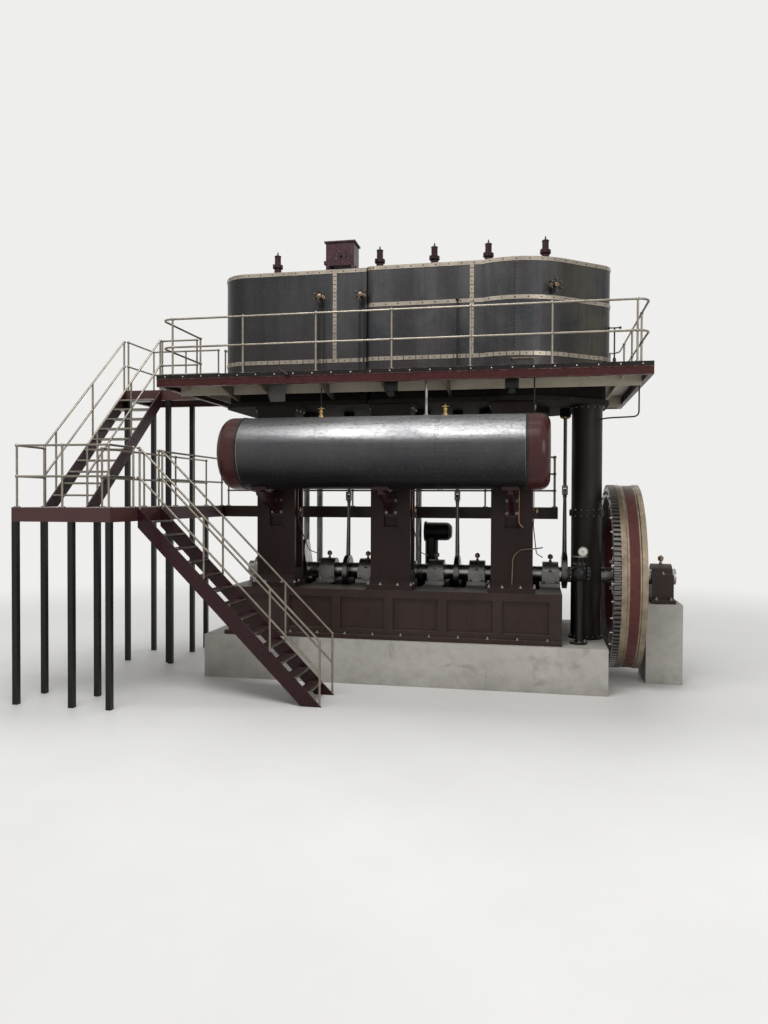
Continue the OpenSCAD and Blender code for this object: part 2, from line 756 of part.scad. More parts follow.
module exhaust_pipe() color("#3a2723") {
  translate([exhaust_x, exhaust_y, 0]) {
    translate([0, 0, foundation_h]) cylinder(h = foot_z - foundation_h, r = exhaust_r);
    for (z = [foundation_h, foot_z - 45, shaft_z + 1150, shaft_z + 1196])
      translate([0, 0, z]) cylinder(h = 45, r = exhaust_flange);
  }
}

// Bypass pipe behind the cranks: a riser from the bedplate with a blank ended head
module bypass_pipe() color("#232021") {
  head_z = shaft_z + bypass_rise;
  translate([bypass_x, bed_half - 170, 0]) {
    translate([0, 0, bed_top]) cylinder(h = 35, r = 170);
    translate([0, 0, bed_top]) cylinder(h = head_z - bed_top, r = 140);
    translate([-150, 0, head_z]) rotate([0, 90, 0]) rotate_extrude() polygon([
      [0, 0], [215, 0], [215, 40], [195, 41], [195, 470], [178, 530], [120, 585], [0, 600]]);
  }
}

// Stop valve with its bonnet, hand wheel and a round gauge
module gauge_stand() color("#2a2624") {
  valve_z = shaft_z + 130;
  translate([foundation_right - gauge_inset, -gauge_y, foundation_h]) {
    cylinder(h = 40, r = 150);
    cylinder(h = valve_z - foundation_h, r = 65);
  }
  translate([foundation_right - gauge_inset, -gauge_y, valve_z]) {
    sphere(r = 150);
    rotate([0, 90, 0]) cylinder(h = 380, r = 75, center = true);
    for (x = [-190, 155]) translate([x, 0, 0]) rotate([0, 90, 0]) cylinder(h = 35, r = 120);
    cylinder(h = 210, r = 80);
    translate([0, 0, 140]) cylinder(h = 30, r = 115);
    cylinder(h = 300, r = 22);
    translate([0, 0, 285]) cylinder(h = 22, r = 100);
    translate([60, -20, 120]) cylinder(h = 200, r = 14);
    translate([60, 15, gauge_rise]) rotate([90, 0, 0]) cylinder(h = 50, r = 88);
  }
}

// Eccentric sheaves, straps, rods and valve spindles
module valve_gear() color("#8d8c88") {
  for (i = [0 : 2]) translate([valve_x[i], 0, 0]) {
    a = crank_turn + 120 * i + 100;
    cy = -sheave_e * sin(a);
    cz = shaft_z + sheave_e * cos(a);
    pin_z = cz + 1500;
    translate([0, cy, cz]) rotate([0, 90, 0]) difference() {
      cylinder(h = sheave_t, r = sheave_r, center = true);
      translate([cz - shaft_z, -cy, 0]) cylinder(h = 2 * sheave_t, r = shaft_r + fit, center = true);
    }
    translate([0, cy, cz]) rotate([atan2(cy, 1500), 0, 0]) {
      difference() {
        union() {
          rotate([0, 90, 0]) cylinder(h = sheave_t - 20, r = sheave_r + 60, center = true);
          translate([0, 0, sheave_r + 20]) cylinder(h = 1500 - sheave_r - 20 - 60, r1 = 45, r2 = 32);
          translate([0, 0, 1500]) rotate([0, 90, 0]) cylinder(h = 40, r = 70, center = true);
          translate([0, 0, 1400]) cylinder(h = 60, r = 40);
        }
        rotate([0, 90, 0]) cylinder(h = 2 * sheave_t, r = sheave_r + fit, center = true);
        translate([0, 0, 1500]) rotate([0, 90, 0]) cylinder(h = 100, r = 30 + fit, center = true);
      }
    }
    translate([0, 0, cz + 1500 * cos(atan2(cy, 1500))]) {
      rotate([0, 90, 0]) cylinder(h = 110, r = 30, center = true);
      for (s = [-1, 1]) block([s * 40 - 15, -50, -50], [s * 40 + 15, 50, 130]);
      block([-55, -50, 80], [55, 50, 130]);
      translate([0, 0, 120]) cylinder(h = foot_z - cz - 1500 * cos(atan2(cy, 1500)) - 120 - fit, r = spindle_r);
    }
  }
}

// Part of the deck between two corners, cut round the cylinder feet
module deck_piece(a, b) {
  translate([0, 0, deck_z - deck_t]) linear_extrude(deck_t) difference() {
    translate(a) square(b - a);
    engine_plan(fit - foot_inset);
  }
}

module deck_front() color("#6b6a66")
  deck_piece([-plat_left, -plat_half], [plat_right, -deck_split]);
module deck_back() color("#6b6a66")
  deck_piece([-plat_left, deck_split], [plat_right, plat_half]);
module deck_left() color("#6b6a66")
  deck_piece([-plat_left, -deck_split], [high_x, deck_split]);
module deck_right() color("#6b6a66")
  deck_piece([low_x, -deck_split], [plat_right, deck_split]);

// Channel of a given length along +X, with its web on the side of -Y, under the deck
module channel(length) {
  translate([0, 0, -channel_h]) {
    cube([length, channel_t, channel_h]);
    cube([length, channel_w, channel_t]);
    translate([0, 0, channel_h - channel_t]) cube([length, channel_w, channel_t]);
  }
}

// Edge of the deck: a channel under the plates and a flat strip before them
module deck_edge(length) {
  channel(length);
  translate([0, -kerb_t - fit, deck_t - kerb_h]) cube([length, kerb_t, kerb_h]);
  translate([0, -kerb_t, deck_t - kerb_h]) cube([length, kerb_t + 1, kerb_h - deck_t - 1]);
}

module front_edge() color("#5c2a2b")
  translate([-plat_left, -plat_half, deck_z - deck_t]) deck_edge(plat_left + plat_right);
module back_edge() color("#5c2a2b")
  translate([plat_right, plat_half, deck_z - deck_t]) rotate([0, 0, 180]) deck_edge(plat_left + plat_right);
module right_edge() color("#5c2a2b")
  translate([plat_right, -plat_half + channel_w + fit, deck_z - deck_t]) rotate([0, 0, 90])
    deck_edge(2 * (plat_half - channel_w - fit));
module left_edge() color("#5c2a2b")
  translate([-plat_left, plat_half - channel_w - fit, deck_z - deck_t]) rotate([0, 0, -90])
    channel(2 * (plat_half - channel_w - fit));

// Landing at the head of the upper flight
module top_landing() color("#5c2a2b") {
  x1 = -plat_left - fit;
  y1 = top_landing_d - top_landing_y;
  block([-landing_x, -top_landing_y, deck_z - deck_t], [x1, y1, deck_z]);
  translate([-landing_x, -top_landing_y, deck_z - deck_t + 1]) channel(x1 + landing_x);
  translate([x1, y1, deck_z - deck_t + 1]) rotate([0, 0, 180]) channel(x1 + landing_x);
  translate([-landing_x, y1, deck_z - deck_t + 1]) rotate([0, 0, -90]) channel(y1 + top_landing_y);
}

// Cantilever brackets from the cylinder feet to the deck edge
module deck_brackets() color("#8a857c") {
  top = deck_z - deck_t - fit;
  edge = plat_half - channel_w - fit;
  for (x = bracket_x) {
    wall = (x < -middle_left ? high_half : middle_half) - foot_inset + fit;
    for (m = [0, 1]) mirror([0, m, 0]) translate([x - bracket_t / 2, 0, 0]) rotate([90, 0, 90])
      linear_extrude(bracket_t) polygon([[wall, top], [edge, top], [edge, top - 140], [wall + 100, foot_z + foot_flange + 20],
               [wall, foot_z + foot_flange + 20]]);
  }
}

// Angle beams across the ends of the deck, and along it beside the casings between the brackets
module deck_beams() color("#9a917f") {
  top = deck_z - deck_t - fit;
  edge = plat_half - channel_w - fit;
  for (x = beam_x) {
    block([x - 40, -edge, top - channel_t], [x + 40, edge, top]);
    block([x - 40, -edge, top - 140], [x - 40 + channel_t, edge, top]);
  }
  for (m = [0, 1]) mirror([0, m, 0]) difference() {
    union() {
      block([-plat_left + channel_w + fit, inner_beam_y - 70, top - channel_t],
        [plat_right - channel_w - fit, inner_beam_y, top]);
      block([-plat_left + channel_w + fit, inner_beam_y - channel_t, top - inner_beam_h],
        [plat_right - channel_w - fit, inner_beam_y, top]);
    }
    for (x = bracket_x) block([x - bracket_t / 2 - fit, inner_beam_y - 100, top - inner_beam_h - 1],
      [x + bracket_t / 2 + fit, inner_beam_y + 1, top + 1]);
  }
}

// Straight handrail post with a foot plate and a ball at each rail
module post(p, knots = [rail_h / 2, rail_h]) {
  translate(p) {
    cylinder(h = rail_h, d = rail_d);
    cylinder(h = 12, d = 3 * rail_d);
    for (z = knots) translate([0, 0, z]) sphere(d = 1.7 * rail_d, $fn = 24);
  }
}

// Two rails along a line of points, with round joints
module rails(points, heights = [rail_h / 2, rail_h]) {
  for (h = heights) {
    for (i = [0 : len(points) - 2]) bar(points[i] + [0, 0, h], points[i + 1] + [0, 0, h], rail_d);
    for (p = points) translate(p + [0, 0, h]) sphere(d = 1.2 * rail_d, $fn = 24);
  }
}

// Quarter bends of both rails round a corner
module rail_corner(centre, turn) {
  for (h = [rail_h / 2, rail_h]) translate(centre + [0, 0, h]) rotate([0, 0, turn])
    rotate_extrude(angle = 90) translate([rail_bend, 0]) circle(d = rail_d);
}

module front_handrail() color("#b9b6ae") {
  x0 = rail_left + rail_bend;
  x1 = rail_right - rail_bend;
  rails([[x0, -rail_y, deck_z], [x1, -rail_y, deck_z]]);
  for (i = [0 : floor((x1 - x0) / post_pitch)]) post([x0 + 20 + i * post_pitch, -rail_y, deck_z]);
  rail_corner([x1, -rail_y + rail_bend, deck_z], -90);
  rail_corner([x0, -rail_y + rail_bend, deck_z], 180);
}

module back_handrail() color("#b9b6ae") {
  x0 = rail_left + rail_bend;
  x1 = rail_right - rail_bend;
  rails([[x0, rail_y, deck_z], [x1, rail_y, deck_z]]);
  for (i = [0 : floor((x1 - x0) / post_pitch)]) post([x0 + 20 + i * post_pitch, rail_y, deck_z]);
  rail_corner([x1, rail_y - rail_bend, deck_z], 0);
  rail_corner([x0, rail_y - rail_bend, deck_z], 90);
}

module right_handrail() color("#b9b6ae") {
  y = rail_y - rail_bend - fit - rail_d / 2;
  rails([[rail_right, -y, deck_z], [rail_right, y, deck_z]]);
  for (i = [-1 : 1]) post([rail_right, i * post_pitch, deck_z]);
}

module left_handrail() color("#b9b6ae") {
  y = rail_y - rail_bend - fit - rail_d / 2;
  front = -top_landing_y - rail_d;
  back = top_landing_d - top_landing_y + rail_d;
  for (span = [[-y, front], [y, back]]) {
    rails([[rail_left, span[0], deck_z], [rail_left, span[1], deck_z]]);
    post([rail_left, span[1], deck_z]);
  }
  post([rail_left, y / 2 + back / 2, deck_z]);
}

module top_landing_rails() color("#b9b6ae") {
  back = top_landing_d - top_landing_y - rail_inset;
  out = -landing_x + rail_inset;
  inner = -plat_left - rail_inset;
  front = -top_landing_y + rail_inset;
  stair = stair_out + stringer_t / 2;
  rails([[inner, back, deck_z], [out, back, deck_z], [out, front, deck_z]]);
  rails([[inner, front, deck_z], [stair, front, deck_z]]);
  for (p = [[inner, back], [out, back], [out, front], [(out + inner) / 2, back], [inner, front], [stair, front]])
    post([p.x, p.y, deck_z]);
}

// A flight of steps that falls along +X from the origin, between two stringers
module flight(steps, drop, run) {
  slope = atan2(drop, run);
  for (y = [0, stair_w + stringer_t]) translate([0, y, 0]) rotate([90, 0, 0]) linear_extrude(stringer_t)
    polygon([[0, 0], [0, -stringer_h / cos(slope)], [run - stringer_h / sin(slope), -drop], [run, -drop]]);
  for (i = [1 : steps - 1])
    block([(i - 1) * run / steps + 20, -1, -i * drop / steps - tread_t],
          [i * run / steps + 20, stair_w + 1, -i * drop / steps]);
}

// Posts and sloping rails of both sides of a flight, level at the top where they meet the landing rails
module flight_rails(drop, run) {
  slope = drop / run;
  knee = 30;
  ends = [for (x = knee; x < run - 300; x = x + stair_posts) x, run - knee];
  for (y = [-stringer_t / 2, stair_w + stringer_t / 2]) {
    rails([[1.45 * rail_d - rail_inset + 2, y, 0], [knee, y, 0], [run - knee, y, -(run - 2 * knee) * slope]],
      [rail_h / 2, rail_h]);
    for (x = ends) bar([x, y, -x * slope + fit], [x, y, rail_h - (x - knee) * slope], rail_d);
  }
}

// Places a flight at the front of the top landing
module at_top_landing() {
  translate([stair_out, -top_landing_y - fit, deck_z]) rotate([0, 0, -90]) mirror([0, 1, 0]) children();
}

module upper_stair() color("#5c2a2b")
  at_top_landing() flight(upper_steps, deck_z - gallery_z, upper_run);
module upper_stair_rails() color("#b9b6ae")
  at_top_landing() flight_rails(deck_z - gallery_z, upper_run);

// Plate of a landing with edge beams under its outline
module tray(a, b) {
  z = gallery_z - deck_t - gallery_beam;
  block([a.x, a.y, gallery_z - deck_t], [b.x, b.y, gallery_z]);
  for (y = [a.y, b.y - channel_t]) block([a.x, y, z], [b.x, y + channel_t, gallery_z - deck_t + 1]);
  for (x = [a.x, b.x - channel_t]) block([x, a.y, z], [x + channel_t, b.y, gallery_z - deck_t + 1]);
}

module landing() color("#5c2a2b")
  tray([-landing_x, landing_front], [walk_right, stair_foot_y]);
module end_walkway() color("#5c2a2b")
  tray([walk_left, stair_foot_y + fit], [walk_right, gallery_y + gallery_w]);

// Square posts under the landings
module landing_legs() color("#5c2a2b") {
  top = gallery_z - deck_t - gallery_beam - fit;
  for (p = [[-landing_x, landing_front], [walk_left, landing_front], [walk_right - leg_w, landing_front],
            [-landing_x, stair_foot_y - leg_w], [walk_left, stair_foot_y - leg_w],
            [walk_left, gallery_y + gallery_w - leg_w], [walk_left, -top_landing_y - leg_w]])
    block([p.x, p.y, 0], [p.x + leg_w, p.y + leg_w, top]);
  for (x = [-landing_x, walk_left - leg_w - fit]) for (y = [-top_landing_y, top_landing_d - top_landing_y - leg_w])
    block([x, y, 0], [x + leg_w, y + leg_w, deck_z - deck_t - channel_h + 1 - fit]);
}

module landing_rails() color("#b9b6ae") {
  z = gallery_z;
  out = -landing_x + rail_inset;
  front = landing_front + rail_inset;
  right = walk_right - rail_inset;
  left = walk_left + rail_inset;
  rails([[out, stair_foot_y - 60, z], [out, front, z], [right, front, z], [right, lower_y0 - 60, z]]);
  rails([[right, lower_y1 + 60, z], [right, gallery_y - 30, z]]);
  rails([[left, stair_foot_y + 80, z], [left, gallery_y + gallery_w - rail_inset, z]]);
  for (p = [[out, stair_foot_y - 60], [out, front], [(out + right) / 2, front], [right, front],
            [right, lower_y0 - 60], [right, lower_y1 + 60], [right, -1000], [right, gallery_y - 30],
            [left, stair_foot_y + 80], [left, -1800], [left, -500], [left, gallery_y + gallery_w - rail_inset]])
    post([p.x, p.y, z]);
}

// Places a flight at the right side of the middle landing
module at_middle_landing() {
  translate([walk_right + fit, lower_y0, gallery_z]) children();
}

module lower_stair() color("#5c2a2b")
  at_middle_landing() flight(lower_steps, gallery_z, lower_run);
module lower_stair_rails() color("#b9b6ae")
  at_middle_landing() flight_rails(gallery_z, lower_run);

// Gallery along the crossheads, clamped to the turned columns
module crosshead_gallery() color("#4a2626") {
  z = gallery_z - deck_t - gallery_beam;
  x0 = walk_right + fit;
  block([x0, gallery_y, gallery_z - deck_t], [gallery_right, gallery_y + gallery_w, gallery_z]);
  for (y = [gallery_y, gallery_y + gallery_w - 20]) block([x0, y, z], [gallery_right, y + 20, gallery_z]);
  for (x = cyl_x) for (s = [-1, 1]) difference() {
    union() {
      block([x + s * turned_half - 40, gallery_y, z], [x + s * turned_half + 40, turned_y, z + 120]);
      translate([x + s * turned_half, turned_y, z]) cylinder(h = 120, r = turned_r + 35);
    }
    translate([x + s * turned_half, turned_y, z - 1]) cylinder(h = 200, r = turned_r + fit);
  }
}

module gallery_rails() color("#6d6a66") {
  y0 = gallery_y + rail_inset;
  x1 = gallery_right - rail_inset;
  levels = rail_h * [1 / 3, 2 / 3, 1];
  rails([[walk_right + rail_inset, y0, gallery_z], [x1, y0, gallery_z],
         [x1, gallery_y + gallery_w - rail_inset, gallery_z]], levels);
  for (i = [0 : 5]) post([walk_right + rail_inset + (x1 - walk_right - rail_inset) * i / 5, y0, gallery_z], levels);
  post([x1, gallery_y + gallery_w - rail_inset, gallery_z], levels);
}

foundation();
bedplate();
main_bearings();
crankshaft();
flywheel();
barring_ring();
outboard_bearing();
connecting_rods();
crossheads();
high_column();
middle_column();
low_column();
back_columns();
high_cylinder_foot();
middle_cylinder_foot();
low_cylinder_foot();
high_casing();
middle_casing();
low_casing();
casing_bands();
relief_valves();
vent_box();
casing_valves();
receiver_drum();
drum_straps();
drum_ends();
drum_brackets();
drum_fittings();
exhaust_pipe();
bypass_pipe();
gauge_stand();
valve_gear();
deck_front();
deck_back();
deck_left();
deck_right();
top_landing();
front_edge();
back_edge();
left_edge();
right_edge();
deck_brackets();
deck_beams();
front_handrail();
right_handrail();
back_handrail();
left_handrail();
top_landing_rails();
upper_stair();
upper_stair_rails();
landing();
end_walkway();
landing_legs();
landing_rails();
lower_stair();
lower_stair_rails();
crosshead_gallery();
gallery_rails();
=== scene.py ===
"""Looks of the vertical triple-expansion steam engine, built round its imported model."""
import bmesh
import bpy
import math
from mathutils import Matrix, Vector


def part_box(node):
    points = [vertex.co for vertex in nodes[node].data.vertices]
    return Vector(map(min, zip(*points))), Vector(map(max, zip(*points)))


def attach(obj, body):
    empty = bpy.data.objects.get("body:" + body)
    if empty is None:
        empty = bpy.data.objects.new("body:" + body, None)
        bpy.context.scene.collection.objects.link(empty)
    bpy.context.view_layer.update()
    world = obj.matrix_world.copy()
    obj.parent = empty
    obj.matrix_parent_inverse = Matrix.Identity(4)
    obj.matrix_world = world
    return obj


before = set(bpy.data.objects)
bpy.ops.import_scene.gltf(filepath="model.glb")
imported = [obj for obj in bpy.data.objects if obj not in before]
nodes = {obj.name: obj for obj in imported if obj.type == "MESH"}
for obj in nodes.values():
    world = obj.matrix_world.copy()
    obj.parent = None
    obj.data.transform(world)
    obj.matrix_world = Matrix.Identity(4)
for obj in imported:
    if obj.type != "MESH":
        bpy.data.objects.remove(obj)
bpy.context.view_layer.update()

FRONT = Vector((0, -1, 0))
RIGHT = Vector((1, 0, 0))
UP = Vector((0, 0, 1))
TURN = 2 * math.pi


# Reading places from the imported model

def corners(name):
    """Lowest and highest corner of a node, as two vectors."""
    low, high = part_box(name)
    return Vector(low), Vector(high)


def joined_mesh(name):
    """A copy of a node's mesh with its doubled points joined; nodes sit at the origin, so it is in place."""
    mesh = bmesh.new()
    mesh.from_mesh(nodes[name].data)
    bmesh.ops.remove_doubles(mesh, verts=mesh.verts, dist=1e-5)
    return mesh


def islands(name):
    """Boxes of the separate solids of a node, from left to right."""
    mesh = joined_mesh(name)
    todo, boxes = set(mesh.verts), []
    while todo:
        stack, low, high = [todo.pop()], Vector((1e9,) * 3), Vector((-1e9,) * 3)
        while stack:
            v = stack.pop()
            low = Vector(map(min, low, v.co))
            high = Vector(map(max, high, v.co))
            near = [e.other_vert(v) for e in v.link_edges]
            near = [other for other in near if other in todo]
            todo.difference_update(near)
            stack.extend(near)
        boxes.append((low, high))
    mesh.free()
    return sorted(boxes, key=lambda b: b[0].x)


def loop_length(loop):
    return sum((b - a).length for a, b in zip(loop, loop[1:] + loop[:1]))


def centre_of(loop):
    return sum(loop, Vector()) / len(loop)


def slice_loops(name, z):
    """Closed outlines of a node at a height, as lists of points, longest first."""
    cut = joined_mesh(name)
    geometry = cut.verts[:] + cut.edges[:] + cut.faces[:]
    done = bmesh.ops.bisect_plane(cut, geom=geometry, plane_co=(0, 0, z), plane_no=UP)
    links = {}
    for piece in done["geom_cut"]:
        if isinstance(piece, bmesh.types.BMEdge):
            a, b = piece.verts
            links.setdefault(a, []).append(b)
            links.setdefault(b, []).append(a)
    loops, seen = [], set()
    for start in links:
        if start in seen:
            continue
        loop, here = [], start
        while here is not None:
            seen.add(here)
            loop.append(here.co.copy())
            here = next((v for v in links[here] if v not in seen), None)
        if len(loop) > 2:
            loops.append(loop)
    cut.free()
    return sorted(loops, key=loop_length, reverse=True)


def walk_loop(loop, pitch, start=0.0):
    """Points at equal steps along a closed outline, each with its outward direction; start is in steps."""
    area = sum(a.x * b.y - b.x * a.y for a, b in zip(loop, loop[1:] + loop[:1]))
    turn = 1 if area > 0 else -1
    total = loop_length(loop)
    count = max(3, round(total / pitch))
    wanted = [(i + start) / count * total for i in range(count)]
    run, out = 0.0, []
    for a, b in zip(loop, loop[1:] + loop[:1]):
        length = (b - a).length
        while wanted and wanted[0] <= run + length and length > 0:
            t = (wanted.pop(0) - run) / length
            along = (b - a).normalized()
            out.append((a.lerp(b, t), Vector((along.y, -along.x, 0)) * turn))
        run += length
    return out


def reach(name, origin, direction, far=100.0):
    """Where a ray meets a node, and the surface direction there, or None."""
    found, point, normal, _ = nodes[name].ray_cast(Vector(origin), Vector(direction), distance=far)
    return (point, normal) if found else None


def steps(start, end, pitch):
    """Numbers from start to before end, a pitch apart."""
    return [start + i * pitch for i in range(math.ceil((end - start) / pitch))]


def points_up(name, x, low, high, pitch):
    """Points up the front, then up the back of a node at equal steps, with the surface directions."""
    far = 4.0
    return [reach(name, (x, side * far, z), (0, -side, 0))
            for side in (-1, 1) for z in steps(low, high, pitch)]


# Key places of the engine, read from the frame

CYLINDERS = ("high_casing", "middle_casing", "low_casing")
columns = [corners(n) for n in ("high_column", "middle_column", "low_column")]
axes = [(low.x + high.x) / 2 for low, high in columns]
bed_top, foot_z = columns[0][0].z, columns[0][1].z
flange_top = foot_z + 0.08
foundation_top = corners("bedplate")[0].z
landing_top = corners("landing")[1].z
deck_low, deck_high = corners("deck_front")
deck_under, deck_top = deck_low.z, deck_high.z
strip_foot = deck_top - 0.070
band_low, band_high = corners("casing_bands")
casing_top = band_high.z
ring_low, ring_high = corners("barring_ring")
shaft_z = (ring_low.z + ring_high.z) / 2
wheel_r = (ring_high.z - ring_low.z) / 2
wheel_low, wheel_high = corners("flywheel")
drum_low, drum_high = corners("receiver_drum")
drum_mid = (drum_low + drum_high) / 2
drum_r = (drum_high.z - drum_low.z) / 2
left_cock, vent_pipe, right_cock = [(low + high) / 2 for low, high in islands("drum_fittings")]


# Camera, as the photograph was taken, and lamps

PHOTO_H, FOCAL_PX = 1024, 770.0
SENSOR_MM = 36.0
CAMERA_AT = Vector((2.6, -15.2, 3.35))
CAMERA_YAW, CAMERA_PITCH, CAMERA_ROLL = 11.08, -0.94, 0.21


def make_camera():
    data = bpy.data.cameras.new("camera")
    data.sensor_fit = "AUTO"
    data.sensor_width = SENSOR_MM
    data.lens = FOCAL_PX / PHOTO_H * SENSOR_MM
    data.clip_end = 200.0
    camera = bpy.data.objects.new("camera", data)
    turn = (Matrix.Rotation(math.radians(CAMERA_YAW), 4, "Z")
            @ Matrix.Rotation(math.radians(90 + CAMERA_PITCH), 4, "X")
            @ Matrix.Rotation(math.radians(CAMERA_ROLL), 4, "Z"))
    camera.matrix_world = Matrix.Translation(CAMERA_AT) @ turn
    bpy.context.scene.collection.objects.link(camera)
    bpy.context.scene.camera = camera


def area_light(name, at, target, size, power):
    data = bpy.data.lights.new(name, "AREA")
    data.shape = "RECTANGLE"
    data.size, data.size_y = size
    data.energy = power
    lamp = bpy.data.objects.new(name, data)
    lamp.location = at
    lamp.rotation_euler = (Vector(target) - Vector(at)).to_track_quat("-Z", "Y").to_euler()
    bpy.context.scene.collection.objects.link(lamp)


# Node helpers for the materials

EDGE_WIDTH, EDGE_SAMPLES = 0.012, 3


def rgba(colour):
    """A colour with its alpha; a socket passes as it is."""
    return (*colour, 1) if isinstance(colour, tuple) else colour


def shade(colour, k):
    return tuple(min(1.0, c * k) for c in colour)


class Tree:
    """Short calls for the nodes of a world or a material."""

    def __init__(self, tree):
        self.tree = tree
        tree.nodes.clear()

    def put(self, socket, value):
        """Links a socket, or writes a constant."""
        if hasattr(value, "links"):
            self.tree.links.new(value, socket)
        else:
            socket.default_value = value

    def feed(self, node, **inputs):
        """Puts values on the named inputs of a node; an underscore stands for a space."""
        for name, value in inputs.items():
            self.put(node.inputs[name.replace("_", " ")], value)
        return node

    def node(self, kind, **inputs):
        return self.feed(self.tree.nodes.new(kind), **inputs)

    def maths(self, kind, a, b=0.0):
        n = self.node("ShaderNodeMath")
        n.operation = kind
        self.put(n.inputs[0], a)
        self.put(n.inputs[1], b)
        return n.outputs[0]

    def seen_ray(self):
        """1 for the rays that show the backdrop: straight to the camera, mirrored or through glass."""
        path = self.node("ShaderNodeLightPath").outputs
        mirrored = self.maths("MAXIMUM", path["Is Camera Ray"], path["Is Glossy Ray"])
        return self.maths("MAXIMUM", mirrored, path["Is Transmission Ray"])

    def blend(self, amount, a, b):
        """Two shaders mixed by an amount."""
        n = self.node("ShaderNodeMixShader")
        for socket, value in zip(n.inputs, (amount, a.outputs[0], b.outputs[0])):
            self.put(socket, value)
        return n.outputs[0]


class Look(Tree):
    """A material under construction: short calls for the nodes that every finish here uses."""

    def __init__(self, name):
        self.mat = bpy.data.materials.new(name)
        self.mat.use_nodes = True
        super().__init__(self.mat.node_tree)
        self.bsdf = self.node("ShaderNodeBsdfPrincipled")
        self.out = self.node("ShaderNodeOutputMaterial", Surface=self.bsdf.outputs[0])
        self.place = self.node("ShaderNodeTexCoord").outputs["Object"]
        self.height = None

    def stretch(self, scale):
        return self.node("ShaderNodeMapping", Scale=scale, Vector=self.place).outputs[0]

    def noise(self, scale, detail, rough, where=None, warp=0.0):
        n = self.node("ShaderNodeTexNoise", Scale=scale, Detail=detail, Roughness=rough, Distortion=warp,
                      Vector=where or self.place)
        return n.outputs["Fac"]

    def cells(self, scale):
        return self.node("ShaderNodeTexVoronoi", Scale=scale, Vector=self.place).outputs["Distance"]

    def span(self, value, low, high, to_low=0.0, to_high=1.0, smooth=False):
        n = self.node("ShaderNodeMapRange", Value=value, From_Min=low, From_Max=high,
                      To_Min=to_low, To_Max=to_high)
        n.interpolation_type = "SMOOTHSTEP" if smooth else "LINEAR"
        return n.outputs[0]

    def window(self, value, low, high, soft):
        """1 between two values, 0 outside them, with soft ends."""
        return self.times(self.span(value, low - soft, low), self.span(value, high + soft, high))

    def times(self, a, b):
        return self.maths("MULTIPLY", a, b)

    def plus(self, a, b):
        return self.maths("ADD", a, b)

    def distance(self, a, b):
        """Root of the sum of two squares."""
        return self.maths("POWER", self.plus(self.maths("POWER", a, 2.0), self.maths("POWER", b, 2.0)), 0.5)

    def mix(self, amount, a, b):
        n = self.node("ShaderNodeMix")
        n.data_type = "RGBA"
        colour_a, colour_b = n.inputs[6], n.inputs[7]
        self.put(n.inputs[0], amount)
        self.put(colour_a, rgba(a))
        self.put(colour_b, rgba(b))
        return n.outputs[2]

    def vary(self, source, low, high):
        """From low to high over the usual swing of a noise."""
        return self.span(source, 0.3, 0.7, low, high)

    def patch(self, tone, colour, source, low=0.3, high=0.7, amount=1.0):
        """A colour laid over a tone where a source rises from low to high."""
        return self.mix(self.span(source, low, high, 0.0, amount), tone, colour)

    def axis(self, which, source=None):
        return self.node("ShaderNodeSeparateXYZ", Vector=source or self.place).outputs[which]

    def facing(self):
        """How far the surface looks up, from the true normal."""
        return self.axis("Z", self.node("ShaderNodeNewGeometry").outputs["True Normal"])

    def edges(self):
        """1 along convex and concave edges, 0 on flats."""
        bevel = self.node("ShaderNodeBevel", Radius=EDGE_WIDTH)
        bevel.samples = EDGE_SAMPLES
        dot = self.node("ShaderNodeVectorMath")
        dot.operation = "DOT_PRODUCT"
        self.put(dot.inputs[0], bevel.outputs[0])
        self.put(dot.inputs[1], self.node("ShaderNodeNewGeometry").outputs["Normal"])
        return self.span(dot.outputs["Value"], 0.97, 0.80)

    def nicked(self, tone, bare, scale, low, high, amount):
        """Paint gone from the edges in spots."""
        spots = self.span(self.noise(scale, 4, 0.7), low, high, 0.0, amount)
        return self.mix(self.times(self.edges(), spots), tone, bare)

    def bump(self, value, distance, strength):
        """Adds a bump on top of the ones before it."""
        n = self.node("ShaderNodeBump", Strength=strength, Distance=distance, Height=value)
        if self.height is not None:
            self.put(n.inputs["Normal"], self.height)
        self.height = n.outputs[0]

    def done(self, colour, rough, metal=0.0, coat=0.0, coat_rough=0.1, spec=0.5):
        self.feed(self.bsdf, Base_Color=rgba(colour), Roughness=rough, Metallic=metal, Coat_Weight=coat,
                  Coat_Roughness=coat_rough, Specular_IOR_Level=spec)
        if self.height is not None:
            self.put(self.bsdf.inputs["Normal"], self.height)
        return self.mat


# Finishes

MAROON_DARK, MAROON_PALE = (0.036, 0.010, 0.010), (0.060, 0.017, 0.016)
DUST = (0.30, 0.27, 0.235)
BARE_IRON = (0.20, 0.185, 0.17)
CHEQUER_WAVES = 110.0


